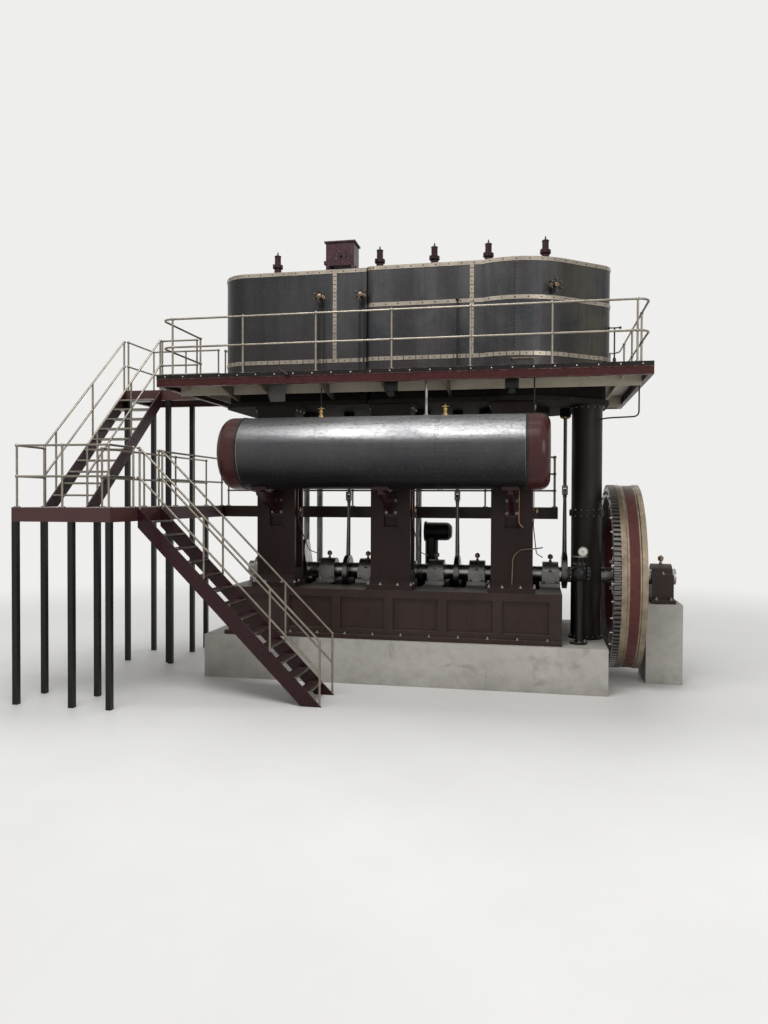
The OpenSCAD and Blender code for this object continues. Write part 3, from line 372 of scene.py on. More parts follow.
def enamel(name, colour, gloss, dust, chips, coat):
    """Old gloss paint on iron: brushed film, patchy shine, dust on ledges, paint worn through at edges."""
    k = Look(name)
    tone = k.patch(shade(colour, 0.78), shade(colour, 1.18), k.noise(0.9, 4, 0.6))
    tone = k.patch(tone, shade(colour, 1.45), k.noise(9.0, 5, 0.65), 0.35, 0.75, 0.35)
    runs = k.noise(3.2, 4, 0.6, k.stretch((3.0, 3.0, 0.22)))
    tone = k.patch(tone, shade(colour, 0.5), runs, 0.52, 0.78, 0.4)
    up = k.span(k.facing(), 0.55, 0.95, 0.0, dust, True)
    dusty = k.times(up, k.span(k.noise(5.0, 6, 0.7), 0.25, 0.75, 0.3, 1.0))
    tone = k.mix(dusty, tone, DUST)
    tone = k.nicked(tone, BARE_IRON, 21.0, 0.50, 0.64, chips)
    film = k.vary(k.noise(2.3, 5, 0.6), gloss - 0.09, gloss + 0.12)
    k.bump(k.noise(14.0, 5, 0.6), 0.004, 0.30)
    k.bump(k.noise(160.0, 2, 0.5), 0.0006, 0.5)
    return k.done(tone, k.plus(film, k.times(dusty, 0.35)), coat=coat, coat_rough=0.18, spec=0.18)


def bright(name, colour, low, high, grain=(12.0, 12.0, 12.0), stain=(0.10, 0.07, 0.045), amount=0.45):
    """Machined steel or brass with tool marks, oil films and dull patches; low to high is its roughness."""
    k = Look(name)
    tone = k.patch(colour, shade(colour, 0.68), k.noise(4.2, 5, 0.65, warp=0.4), 0.4, 0.7)
    spots = k.noise(17.0, 6, 0.7)
    tone = k.patch(tone, stain, spots, 0.55, 0.78, amount)
    lines = k.noise(3.0, 3, 0.6, k.stretch(grain))
    k.bump(lines, 0.0006, 0.4)
    k.bump(k.noise(30.0, 3, 0.6), 0.0009, 0.3)
    return k.done(tone, k.plus(k.vary(lines, low, high), k.span(spots, 0.5, 0.8, 0.0, 0.18)), 1.0)


def cladding_finish():
    """Casing sheets: slate blue steel with brown heat tint low down and wiping marks, painted shade towards
    the left end and a painted highlight towards the right end.
    """
    k = Look("casing sheet")
    x = k.axis("X")
    cloud = k.noise(0.8, 5, 0.62, warp=0.7)
    tone = k.patch((0.022, 0.027, 0.033), (0.070, 0.066, 0.066), cloud, 0.34, 0.66)
    # Darker towards the left end: painted shade.
    tone = k.patch(tone, (0.020, 0.0185, 0.0175), x, axes[1], axes[0] - 0.6, 0.75)
    sweep = k.noise(1.3, 3, 0.5, k.stretch((1.6, 1.6, 0.12)))
    tone = k.patch(tone, (0.016, 0.016, 0.017), sweep, 0.44, 0.60, 0.7)
    low = k.span(k.axis("Z"), deck_top + 0.74, deck_top - 0.06, 0.0, 0.8)
    heat = k.times(low, k.vary(k.noise(1.6, 4, 0.6), 0.35, 1.0))
    tone = k.mix(heat, tone, (0.052, 0.036, 0.030))
    # A pale patch towards the right end of the low casing: a painted highlight on its curve.
    east = k.times(k.span(x, axes[2] + 0.4, axes[2] + 1.4), k.span(k.noise(1.1, 4, 0.6), 0.36, 0.6))
    tone = k.mix(k.times(east, 0.75), tone, (0.074, 0.066, 0.044))
    plum = k.noise(0.9, 4, 0.6, k.stretch((1.0, 1.0, 0.7)), 0.5)
    tone = k.patch(tone, (0.044, 0.034, 0.037), plum, 0.50, 0.66, 0.6)
    drips = k.noise(2.4, 5, 0.65, k.stretch((4.5, 4.5, 0.30)))
    tone = k.patch(tone, (0.018, 0.017, 0.018), drips, 0.5, 0.75, 0.5)
    fleck = k.noise(34.0, 4, 0.7)
    tone = k.patch(tone, (0.11, 0.115, 0.12), fleck, 0.52, 0.8, 0.35)
    k.bump(k.noise(1.5, 2, 0.5), 0.012, 0.5)
    k.bump(k.noise(60.0, 3, 0.55), 0.0006, 0.35)
    shine = k.plus(k.span(drips, 0.25, 0.75, 0.32, 0.46), k.span(fleck, 0.45, 0.8, 0.0, 0.08))
    return k.done(tone, shine, 0.7)


def drum_finish():
    """Receiver cladding: dark blue steel, dented, with a painted highlight along the crown, stronger towards
    the right, and painted shade darkening the lower half.
    """
    k = Look("drum sheet")
    z = k.axis("Z")
    tone = k.patch((0.046, 0.049, 0.055), (0.072, 0.070, 0.070), k.noise(0.9, 5, 0.62, warp=0.5), 0.34, 0.66)
    # This noise mottles both the painted highlight and the roughness.
    worn = k.noise(1.1, 4, 0.6, k.stretch((0.8, 2.0, 2.0)))
    # Pale colours for the crown: a painted highlight, darkened in spots over the dents.
    painted_highlight = k.patch((0.40, 0.405, 0.42), (0.80, 0.80, 0.80), worn, 0.38, 0.62)
    dents = k.noise(19.0, 4, 0.7, k.stretch((0.75, 1.2, 1.2)))
    painted_highlight = k.patch(painted_highlight, (0.13, 0.13, 0.135), dents, 0.50, 0.64, 0.6)
    # Over the top of the drum, and more strongly towards the right, the painted highlight replaces the
    # sheet's tone.
    crown = k.span(z, drum_mid.z + 0.15 * drum_r, drum_mid.z + 0.97 * drum_r, smooth=True)
    east = k.span(k.axis("X"), drum_mid.x - 1.8, drum_mid.x + 0.2, 0.35, 1.0, True)
    tone = k.mix(k.times(crown, east), tone, painted_highlight)
    # Darker towards the bottom of the drum: painted shade.
    painted_shade_below = k.span(z, drum_mid.z + 0.1 * drum_r, drum_mid.z - 0.75 * drum_r, 0.0, 0.9, True)
    tone = k.mix(painted_shade_below, tone, (0.012, 0.011, 0.011))
    along = k.noise(2.4, 5, 0.62, k.stretch((0.28, 6.0, 6.0)))
    tone = k.patch(tone, (0.035, 0.032, 0.033), along, 0.48, 0.74, 0.5)
    fleck = k.noise(30.0, 5, 0.7)
    tone = k.patch(tone, (0.20, 0.20, 0.21), fleck, 0.55, 0.8, 0.30)
    k.bump(k.noise(1.8, 2, 0.5), 0.009, 0.5)
    k.bump(dents, 0.0035, 0.5)
    k.bump(k.noise(34.0, 4, 0.65, k.stretch((0.6, 1.6, 1.6))), 0.0018, 0.5)
    shine = k.plus(k.span(worn, 0.35, 0.65, 0.48, 0.30), k.span(fleck, 0.45, 0.8, 0.0, 0.08))
    return k.done(tone, shine, 0.8)


def concrete_finish():
    """Foundation block: pale concrete with pores, stains, patches of oil and a damp foot."""
    k = Look("concrete")
    broad = k.noise(0.55, 6, 0.6, warp=0.4)
    tone = k.patch((0.33, 0.315, 0.285), (0.45, 0.43, 0.395), broad)
    tone = k.patch(tone, (0.24, 0.225, 0.20), k.noise(6.0, 6, 0.7), 0.45, 0.75, 0.45)
    foot = k.times(k.span(k.axis("Z"), 0.35, 0.0), k.span(k.noise(2.2, 5, 0.6), 0.3, 0.7))
    tone = k.mix(k.times(foot, 0.6), tone, (0.15, 0.14, 0.125))
    tone = k.patch(tone, (0.10, 0.085, 0.07), k.noise(0.9, 5, 0.65, warp=0.8), 0.60, 0.72, 0.55)
    pores = k.cells(70.0)
    tone = k.patch(tone, (0.16, 0.15, 0.135), pores, 0.16, 0.05, 0.6)
    k.bump(k.noise(11.0, 6, 0.65), 0.010, 0.4)
    k.bump(pores, 0.0025, 0.4)
    return k.done(tone, k.vary(broad, 0.78, 0.92))


def chequer_finish():
    """Deck plates: worn steel with a raised pattern above, maroon edges, beige paint below."""
    k = Look("chequer plate")
    x, y, facing = k.axis("X"), k.axis("Y"), k.facing()
    waves = [k.maths("SINE", k.times(k.maths(way, x, y), CHEQUER_WAVES)) for way in ("ADD", "SUBTRACT")]
    raised = k.span(k.maths("ABSOLUTE", k.times(*waves)), 0.25, 0.6)
    wear = k.noise(2.1, 5, 0.65)
    tone = k.patch((0.13, 0.12, 0.115), (0.24, 0.225, 0.21), wear, 0.35, 0.7)
    tone = k.mix(k.times(raised, 0.45), tone, (0.42, 0.40, 0.38))
    tone = k.patch(tone, (0.13, 0.075, 0.045), k.noise(12.0, 5, 0.7), 0.58, 0.8, 0.5)
    beige = k.patch((0.33, 0.29, 0.23), (0.42, 0.37, 0.295), k.noise(3.0, 5, 0.6))
    tone = k.patch(tone, beige, facing, -0.5, -0.9)
    side = k.window(facing, -0.4, 0.4, 0.2)
    tone = k.mix(side, tone, k.patch(MAROON_DARK, MAROON_PALE, wear, 0.3, 0.7))
    up = k.span(facing, 0.5, 0.9)
    k.bump(k.times(raised, up), 0.004, 0.6)
    k.bump(k.noise(40.0, 4, 0.6), 0.0008, 0.4)
    return k.done(tone, k.vary(wear, 0.42, 0.62), k.times(up, 0.75))


def edge_finish():
    """Deck edges: maroon channel below a dark upper strip, worn through to pale primer."""
    k = Look("deck edge")
    mottle = k.noise(8.0, 5, 0.65)
    red = k.patch(MAROON_DARK, MAROON_PALE, mottle, 0.3, 0.75)
    dark = k.patch((0.008, 0.007, 0.0075), (0.018, 0.015, 0.015), mottle, 0.3, 0.75)
    tone = k.patch(red, dark, k.axis("Z"), strip_foot, strip_foot + 0.004)
    runs = k.noise(3.0, 4, 0.6, k.stretch((4.0, 4.0, 0.5)))
    tone = k.patch(tone, (0.03, 0.015, 0.015), runs, 0.55, 0.8, 0.4)
    tone = k.nicked(tone, (0.36, 0.32, 0.28), 18.0, 0.45, 0.62, 0.75)
    k.bump(k.noise(13.0, 5, 0.6), 0.003, 0.3)
    return k.done(tone, k.vary(k.noise(2.6, 5, 0.6), 0.28, 0.46), coat_rough=0.2, spec=0.13)


def flat_paint(name, light, dark):
    """Painted iron in a pale tone with rust at its edges."""
    k = Look(name)
    tone = k.patch(dark, light, k.noise(2.4, 5, 0.62))
    tone = k.patch(tone, shade(dark, 0.5), k.noise(14.0, 5, 0.7), 0.55, 0.78, 0.5)
    tone = k.nicked(tone, (0.20, 0.12, 0.07), 16.0, 0.42, 0.62, 0.8)
    k.bump(k.noise(20.0, 5, 0.6), 0.002, 0.35)
    return k.done(tone, k.vary(k.noise(3.0, 4, 0.6), 0.42, 0.62))


def foot_finish():
    """Cylinder feet: near-black walls over a dark olive grey flange, painted shade under the deck, with
    patches of oil.
    """
    k = Look("foot iron")
    soft = 0.002
    mottle = k.noise(7.0, 5, 0.65)
    # Near-black walls and a dark flange: painted shade, as they stand under the deck.
    wall = k.patch((0.009, 0.008, 0.008), (0.018, 0.016, 0.015), mottle, 0.3, 0.75)
    rim = k.patch((0.020, 0.018, 0.015), (0.034, 0.031, 0.025), mottle, 0.3, 0.75)
    tone = k.mix(k.window(k.axis("Z"), foot_z, flange_top - soft, soft), wall, rim)
    oil = k.noise(2.6, 5, 0.65, warp=0.6)
    tone = k.patch(tone, (0.016, 0.013, 0.010), oil, 0.52, 0.72, 0.6)
    tone = k.nicked(tone, (0.16, 0.14, 0.115), 19.0, 0.48, 0.64, 0.5)
    k.bump(k.noise(16.0, 5, 0.6), 0.004, 0.35)
    return k.done(tone, k.vary(oil, 0.90, 0.70), spec=0.06)


def box_finish():
    """Vent box: deep purple maroon, flaked in small pale specks."""
    k = Look("vent box paint")
    mottle, flakes = k.noise(6.0, 5, 0.65), k.noise(30.0, 3, 0.6)
    tone = k.patch((0.022, 0.006, 0.010), (0.044, 0.013, 0.020), mottle)
    tone = k.patch(tone, (0.20, 0.14, 0.145), flakes, 0.62, 0.68, 0.8)
    dusty = k.times(k.span(k.facing(), 0.55, 0.95), k.vary(mottle, 0.1, 0.4))
    tone = k.mix(dusty, tone, (0.25, 0.225, 0.20))
    tone = k.nicked(tone, (0.20, 0.17, 0.15), 21.0, 0.50, 0.64, 0.6)
    k.bump(flakes, 0.0012, 0.5)
    k.bump(k.noise(9.0, 3, 0.6), 0.004, 0.3)
    return k.done(tone, k.vary(mottle, 0.30, 0.46), coat=0.1, coat_rough=0.2, spec=0.2)


def fittings_finish():
    """Cocks of the drum in dull brass; the tall vent pipe between them is bare steel."""
    k = Look("drum fittings")
    half = 0.12
    film = k.noise(6.0, 5, 0.65, warp=0.4)
    gold = k.patch((0.40, 0.28, 0.135), (0.24, 0.165, 0.08), film, 0.4, 0.7)
    grey = k.patch((0.34, 0.335, 0.32), (0.14, 0.13, 0.12), film, 0.4, 0.7)
    pipe = k.window(k.axis("X"), vent_pipe.x - half, vent_pipe.x + half, 0.001)
    spots = k.noise(22.0, 6, 0.7)
    tone = k.patch(k.mix(pipe, gold, grey), (0.07, 0.05, 0.035), spots, 0.52, 0.75, 0.6)
    k.bump(k.noise(30.0, 3, 0.6), 0.0009, 0.3)
    return k.done(tone, k.vary(spots, 0.24, 0.44), 1.0)


def wheel_finish():
    """Flywheel: maroon enamel on the web and the middle of the rim, turned bright beside it."""
    k = Look("wheel")
    width = wheel_high.x - wheel_low.x
    red = k.patch((0.062, 0.016, 0.0135), (0.104, 0.030, 0.025), k.noise(9.0, 5, 0.65), 0.3, 0.75)
    red = k.patch(red, (0.045, 0.014, 0.014), k.noise(2.2, 4, 0.6), 0.5, 0.78, 0.5)
    film = k.noise(5.0, 5, 0.65)
    turned = k.patch((0.33, 0.27, 0.20), (0.17, 0.13, 0.09), film, 0.35, 0.7)
    middle = k.window(k.axis("X"), wheel_low.x + 0.32 * width, wheel_low.x + 0.70 * width, 0.02 * width)
    from_shaft = k.distance(k.axis("Y"), k.maths("SUBTRACT", k.axis("Z"), (wheel_low.z + wheel_high.z) / 2))
    on_rim = k.span(from_shaft, wheel_r - 0.030, wheel_r - 0.028)
    bare = k.times(on_rim, k.maths("SUBTRACT", 1.0, middle))
    k.bump(k.noise(13.0, 5, 0.6), 0.002, 0.3)
    k.bump(k.noise(3.0, 3, 0.6, k.stretch((60.0, 2.0, 2.0))), 0.0006, 0.3)
    shine = k.plus(k.vary(film, 0.24, 0.40), k.times(bare, 0.04))
    return k.done(k.mix(bare, red, turned), shine, bare, 0.05, 0.3, 0.2)


LATHE_GRAIN, CAST_GRAIN, RIVET_GRAIN = (60.0, 60.0, 4.0), (20.0, 20.0, 20.0), (10.0, 10.0, 10.0)
FINISHES = {
    "foundation": concrete_finish(),
    "bedplate outboard_bearing": enamel(
        "brown bed paint", (0.030, 0.017, 0.014), gloss=0.38, dust=0.30, chips=0.5, coat=0.05),
    "high_column middle_column low_column": enamel(
        "column enamel", (0.018, 0.0095, 0.008), 0.42, 0.15, 0.4, 0.0),
    "back_columns main_bearings lid_nuts bracket_nuts frame_nuts flange_nuts valve_wheel": bright(
        "dull steel", (0.30, 0.29, 0.285), 0.34, 0.52),
    "crankshaft connecting_rods crossheads gear_nuts": bright(
        "machined steel", (0.38, 0.37, 0.355), 0.20, 0.38, LATHE_GRAIN),
    "valve_gear": bright("oily steel", (0.17, 0.16, 0.15), 0.24, 0.42, LATHE_GRAIN),
    "flywheel": wheel_finish(),
    "barring_ring": bright(
        "ring iron", (0.17, 0.16, 0.155), 0.30, 0.46, stain=(0.05, 0.035, 0.03), amount=0.6),
    "high_cylinder_foot middle_cylinder_foot low_cylinder_foot": foot_finish(),
    "high_casing middle_casing low_casing": cladding_finish(),
    "casing_bands drum_laps": bright(
        "band steel", (0.33, 0.29, 0.24), 0.28, 0.44, (8.0, 8.0, 50.0), (0.11, 0.075, 0.05), 0.6),
    "vent_box": box_finish(),
    "receiver_drum": drum_finish(),
    "drum_fittings": fittings_finish(),
    "drum_ends": enamel("maroon enamel", (0.046, 0.011, 0.012), 0.28, 0.25, 0.5, 0.20),
    "drum_brackets relief_valves lower_stair upper_stair": enamel(
        "deep maroon enamel", (0.024, 0.006, 0.008), 0.30, 0.15, 0.4, 0.10),
    "casing_valves drum_straps bypass_pipe gauge_stand landing_legs band_rivets band_joints"
    " sheet_seams valve_iron valve_rods drum_seam drum_pipes oil_boxes gauge_marks deck_hangers": enamel(
        "black paint", (0.011, 0.0105, 0.0105), 0.32, 0.22, 0.4, 0.10),
    # Near-black brown: the pipe's dark paint, darkened further as painted shade.
    "exhaust_pipe": enamel("exhaust paint with painted shade", (0.013, 0.009, 0.0075), 0.44, 0.12, 0.4, 0.0),
    "deck_gusset": enamel("grey plate", (0.13, 0.128, 0.12), 0.40, 0.2, 0.6, 0.05),
    "crosshead_gallery": enamel("brown beam paint", (0.036, 0.022, 0.016), 0.40, 0.25, 0.5, 0.05),
    "deck_brackets": flat_paint("drab paint", (0.125, 0.110, 0.084), (0.090, 0.078, 0.060)),
    "deck_beams": flat_paint("beige paint", (0.45, 0.40, 0.32), (0.36, 0.32, 0.255)),
    "deck_front deck_back deck_left deck_right landing end_walkway top_landing": chequer_finish(),
    "front_edge back_edge left_edge right_edge": edge_finish(),
    "front_handrail right_handrail back_handrail left_handrail top_landing_rails upper_stair_rails"
    " landing_rails lower_stair_rails gallery_rails tread_nosings gauge_rim": bright(
        "rail steel", (0.27, 0.24, 0.20), 0.30, 0.46, (14.0, 14.0, 14.0), (0.12, 0.085, 0.06), 0.6),
    "edge_rivets": bright("pale rivet", (0.55, 0.50, 0.46), 0.3, 0.45, RIVET_GRAIN),
    "deck_bolts drum_rivets": bright("dark rivet", (0.07, 0.06, 0.06), 0.35, 0.5, RIVET_GRAIN),
    "drum_brass gear_brass": bright(
        "brass", (0.46, 0.31, 0.13), 0.22, 0.40, CAST_GRAIN, (0.12, 0.065, 0.03), 0.6),
    "valve_bronze lubricators drip_pipe": bright(
        "old bronze", (0.22, 0.155, 0.105), 0.30, 0.46, CAST_GRAIN, (0.05, 0.03, 0.02), 0.6),
    "valve_copper oil_pipes": bright(
        "copper", (0.30, 0.16, 0.10), 0.26, 0.42, CAST_GRAIN, (0.08, 0.035, 0.02), 0.6),
    "gauge_dial": flat_paint("dial face", (0.74, 0.73, 0.69), (0.68, 0.67, 0.62)),
}
finish_of = {name: finish for names, finish in FINISHES.items() for name in names.split()}
for name, thing in nodes.items():
    thing.data.materials.clear()
    thing.data.materials.append(finish_of[name])


# Small parts, gathered into one mesh per kind

SMOOTH_UNDER = math.radians(38)


def frame_of(normal):
    """Two unit vectors square to a direction, and its own."""
    n = Vector(normal).normalized()
    side = n.cross(UP if abs(n.z) < 0.9 else RIGHT).normalized()
    return side, n.cross(side).normalized(), n


def circle(at, u, v, radius, count, start=0.0):
    """Points at equal steps round a centre, in the plane of two unit vectors."""
    angles = [start + TURN * i / count for i in range(count)]
    return [Vector(at) + (u * math.cos(a) + v * math.sin(a)) * radius for a in angles]


def ring_of(at, normal, radius, count, start=0.0):
    """Points at equal steps round an axis."""
    u, v, _ = frame_of(normal)
    return circle(at, u, v, radius, count, start)


class Bits:
    """Collects bolts, rivets, tubes and plates of one finish, then makes one object of them."""

    def __init__(self):
        self.verts, self.faces = [], []

    def rings(self, loops, closed=False):
        """Skins a run of equally long point loops, and caps its ends unless it is closed."""
        first, n, rows = len(self.verts), len(loops[0]), len(loops)
        for loop in loops:
            self.verts.extend(loop)
        for r in range(rows if closed else rows - 1):
            a, b = first + r * n, first + (r + 1) % rows * n
            self.faces.extend((a + i, a + (i + 1) % n, b + (i + 1) % n, b + i) for i in range(n))
        if not closed:
            self.faces.append(tuple(first + i for i in reversed(range(n))))
            self.faces.append(tuple(first + (rows - 1) * n + i for i in range(n)))

    def turned(self, at, normal, profile, n=16):
        """A body of revolution: profile is (radius, height) pairs along the normal."""
        u, v, w = frame_of(normal)
        self.rings([circle(Vector(at) + w * height, u, v, radius, n) for radius, height in profile])

    def rivet(self, at, normal, r):
        self.turned(at, normal, [(r, -0.002), (r, 0.2 * r), (0.78 * r, 0.55 * r), (0.3 * r, 0.75 * r)], 8)

    def nut(self, at, normal, r, washer=True, stud=True):
        """Hexagon nut with its washer and the stud end."""
        if washer:
            self.turned(at, normal, [(1.35 * r, -0.001), (1.35 * r, 0.22 * r)], 14)
        self.turned(at, normal, [(r, 0), (r, 0.85 * r), (0.86 * r, 1.0 * r)], 6)
        if stud:
            self.turned(at, normal, [(0.5 * r, 0.5 * r), (0.5 * r, 1.55 * r), (0.38 * r, 1.7 * r)], 10)

    def nuts_at(self, points, normal, r, washer=True, stud=True):
        for at in points:
            self.nut(at, normal, r, washer, stud)

    def rod(self, a, b, r, n=12):
        a, b = Vector(a), Vector(b)
        self.turned(a, b - a, [(r, 0), (r, (b - a).length)], n)

    def ball(self, at, r):
        bands = 6
        angles = [math.pi * i / bands for i in range(bands + 1)]
        self.turned(at, UP, [(max(r * math.sin(a), r * 0.02), -r * math.cos(a)) for a in angles], 12)

    def ring(self, at, normal, radius, thick, n, m=8):
        """A torus of n by m faces."""
        w = frame_of(normal)[2]
        at = Vector(at)
        middles = ring_of(at, normal, radius, n)
        self.rings([circle(p, (p - at).normalized(), w, thick, m) for p in middles], closed=True)

    def box(self, a, b, edge=0.003):
        """A block between two opposite corners, with small chamfers that catch the light."""
        lo, hi = Vector(map(min, a, b)), Vector(map(max, a, b))
        e = min(edge, min(hi - lo) * 0.3)
        loops = []
        for z, inset in ((lo.z, e), (lo.z + e, 0), (hi.z - e, 0), (hi.z, e)):
            x0, y0, x1, y1 = lo.x + inset, lo.y + inset, hi.x - inset, hi.y - inset
            c = e - inset
            loops.append([Vector(p) for p in (
                (x0 + c, y0, z), (x1 - c, y0, z), (x1, y0 + c, z), (x1, y1 - c, z),
                (x1 - c, y1, z), (x0 + c, y1, z), (x0, y1 - c, z), (x0, y0 + c, z))])
        self.rings(loops)

    def plate(self, at, normal, wide, tall, thick):
        """A thin upright plate lying on a surface."""
        n = Vector(normal).normalized()
        across = n.cross(UP).normalized()
        loops = []
        for depth, k in ((-0.001, 1), (thick * 0.7, 1), (thick, 0.88)):
            w, h = across * wide / 2 * k, UP * (tall / 2 - (1 - k) * wide / 2)
            loops.append([at + n * depth + corner for corner in (-w - h, w - h, w + h, h - w)])
        self.rings(loops)

    def tube(self, points, r, bend=0.06):
        """A pipe through points, with round bends."""
        pts = [Vector(p) for p in points]
        path = [pts[0]]
        for a, b, c in zip(pts, pts[1:], pts[2:]):
            into, out = b - a, c - b
            cut = min(bend, into.length * 0.45, out.length * 0.45)
            p, q = b - into.normalized() * cut, b + out.normalized() * cut
            path.extend(p * (1 - t) ** 2 + b * 2 * t * (1 - t) + q * t * t for t in (0, 0.25, 0.5, 0.75, 1))
        path.append(pts[-1])
        side = frame_of(path[1] - path[0])[0]
        loops = []
        for i, p in enumerate(path):
            step = (path[min(i + 1, len(path) - 1)] - path[max(i - 1, 0)]).normalized()
            side = (side - step * side.dot(step)).normalized()
            loops.append(circle(p, side, step.cross(side), r, 10))
        self.rings(loops)

    def make(self, name, material):
        mesh = bpy.data.meshes.new(name)
        mesh.from_pydata([tuple(v) for v in self.verts], [], self.faces)
        mesh.materials.append(material)
        mesh.shade_smooth()
        mesh.set_sharp_from_angle(angle=SMOOTH_UNDER)
        thing = bpy.data.objects.new(name, mesh)
        bpy.context.scene.collection.objects.link(thing)
        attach(thing, "root")


bits = {name: Bits() for name in finish_of if name not in nodes}


# Casings and what stands on them

BAND_H = 0.072
STRIP_PITCH = 0.23
LOW_BAND_Z = band_low.z + BAND_H / 2
MID_BAND_Z = casing_top - 0.702
TOP_BAND_Z = casing_top - BAND_H / 2


def strip_points(names, level, start=0.0):
    """Points at equal steps along the polished strips at a height, with their outward directions."""
    found, near = [], 0.05
    for name in names:
        for at, out in walk_loop(slice_loops(name, level)[0], STRIP_PITCH, start):
            spot = reach("casing_bands", at + out * near, -out, near)
            if spot:
                found.append((spot[0], out))
    return found


def dress_bands():
    """Rivets and joints of the polished strips, level and upright."""
    rivets, joints, thick = bits["band_rivets"], bits["band_joints"], 0.0014
    for names, level in ((CYLINDERS, TOP_BAND_Z), (CYLINDERS[1:], MID_BAND_Z), (CYLINDERS, LOW_BAND_Z)):
        for at, out in strip_points(names, level):
            rivets.rivet(at, out, 0.0125)
    for at, out in strip_points(CYLINDERS, LOW_BAND_Z, 0.5):
        joints.plate(at, out, 0.013, BAND_H * 0.96, thick)
    pitch = 0.15
    for x in (axes[0] + 1.14, axes[1] + 1.475):
        for at, out in points_up("casing_bands", x, LOW_BAND_Z + 0.13, TOP_BAND_Z - 0.08, pitch):
            rivets.rivet(at, out, 0.011)
            joints.plate(at + UP * pitch / 2, out, BAND_H * 0.94, 0.012, thick)


def dress_seams():
    """Lap seams of the casing sheets, one of them riveted."""
    pitch = 0.06
    seams = (("high_casing", axes[0] - 0.42, False), ("middle_casing", axes[1] + 0.62, False),
             ("low_casing", axes[2] + 0.03, True), ("low_casing", axes[2] + 1.12, False))
    for name, x, riveted in seams:
        for at, out in points_up(name, x, band_low.z + 0.16, TOP_BAND_Z - 0.06, pitch):
            if riveted:
                bits["band_rivets"].rivet(at, out, 0.014)
            bits["sheet_seams"].plate(at + UP * pitch / 2, out, 0.0045, pitch + 0.002, 0.0012)


def dress_lids():
    """Nuts round the cylinder lids and the boss on each."""
    nuts = bits["lid_nuts"]
    rim_top, lid_top = casing_top + 0.024, casing_top + 0.048
    boss = [(0.11, 0), (0.11, 0.03), (0.05, 0.045), (0.045, 0.09), (0.02, 0.1)]
    for name, axis in zip(CYLINDERS, axes):
        middle = Vector((axis, 0, casing_top))
        outlines = slice_loops(name, (casing_top + rim_top) / 2)
        lid = min(outlines, key=lambda loop: (centre_of(loop) - middle).length)
        radius = max((v - centre_of(lid)).length for v in lid)
        nuts.nuts_at(ring_of((axis, 0, rim_top), UP, radius - 0.06, 20), UP, 0.022)
        nuts.turned((axis, 0, lid_top), UP, boss, 24)


def dress_relief_valves():
    """Flange nuts, side plugs and caps of the relief valves."""
    iron = bits["valve_iron"]
    foot, plug, joint, cap, tip = [casing_top + h for h in (0.028, 0.16, 0.344, 0.505, 0.57)]
    for loop in slice_loops("relief_valves", (casing_top + foot) / 2):
        x, y, _ = centre_of(loop)
        iron.nuts_at(ring_of((x, y, foot), UP, 0.090, 6), UP, 0.013)
        for at in ring_of((x, y, joint), UP, 0.083, 4, 0.5):
            iron.nut(at, UP, 0.014)
            iron.nut(at - UP * 0.062, -UP, 0.012, stud=False)
        iron.rod((x - 0.07, y, plug), (x - 0.13, y, plug), 0.02)
        iron.turned((x, y, cap), UP, [(0.066, 0), (0.066, 0.018), (0.05, 0.026)], 24)
        iron.turned((x, y, tip), UP, [(0.014, -0.01), (0.014, 0.01), (0.005, 0.035)], 12)


def dress_star_valves():
    """Handles and unions of the star valves, and the drain rods of those at the front."""
    iron, rods, bronzes = bits["valve_iron"], bits["valve_rods"], bits["valve_bronze"]
    stem, star_r, knob_r, rod_r = 0.15, 0.105, 0.0205, 0.0095
    boss = [(0.042, -0.02), (0.042, 0.026), (0.03, 0.034), (0.016, 0.036), (0.016, 0.05), (0.006, 0.056)]
    for low, high in islands("casing_valves"):
        centre = (low + high) / 2
        at_front = centre.x < axes[2]
        out = FRONT if at_front else Vector((centre.x - axes[2], centre.y, 0)).normalized()
        base, _ = reach("high_casing" if at_front else "low_casing", centre + out, -out)
        hub = base + out * stem
        across = out.cross(UP).normalized()
        for i, knob in enumerate(circle(hub, UP, across, star_r, 6)):
            (bronzes if i % 2 else bits["valve_copper"]).ball(knob, knob_r)
        bronzes.turned(hub, out, boss, 18)
        bronzes.turned(base, out, [(0.07, -0.001), (0.07, 0.012), (0.034, 0.016), (0.034, 0.05)], 20)
        iron.nuts_at(ring_of(base + out * 0.012, out, 0.055, 4, 0.78), out, 0.009)
        if at_front:
            iron.turned(hub - out * 0.09 - UP * 0.10, -UP, [(0.036, 0), (0.036, 0.05), (0.02, 0.06)], 14)
            y = hub.y + 0.09
            for dx in (-0.045, 0.05):
                x = centre.x + dx
                rods.tube([(centre.x + dx * 0.3, y, centre.z - 0.15), (x, y, centre.z - 0.24),
                           (x, y, deck_top + 0.02)], rod_r, 0.05)
                rods.turned((x, y, deck_top), UP, [(0.03, 0), (0.03, 0.012), (0.014, 0.03)], 14)


def dress_vent_box():
    """Rivets, hinge, knob and catch of the vent box."""
    iron = bits["valve_iron"]
    low, high = corners("vent_box")
    middle, front = (low.x + high.x) / 2, low.y + 0.028
    for x in (low.x + 0.05, middle, high.x - 0.05):
        for z in (low.z + 0.13, high.z - 0.16):
            iron.rivet((x, front, z), FRONT, 0.010)
    iron.box((low.x - 0.02, front + 0.03, low.z + 0.13), (low.x + 0.03, front + 0.10, low.z + 0.20))
    knob = [(0.024, 0), (0.024, 0.012), (0.01, 0.03), (0.014, 0.045), (0.004, 0.05)]
    iron.turned((middle + 0.02, front, low.z + 0.27), FRONT, knob, 14)
    iron.box((middle + 0.10, front - 0.012, low.z + 0.22), (middle + 0.13, front + 0.002, low.z + 0.34))


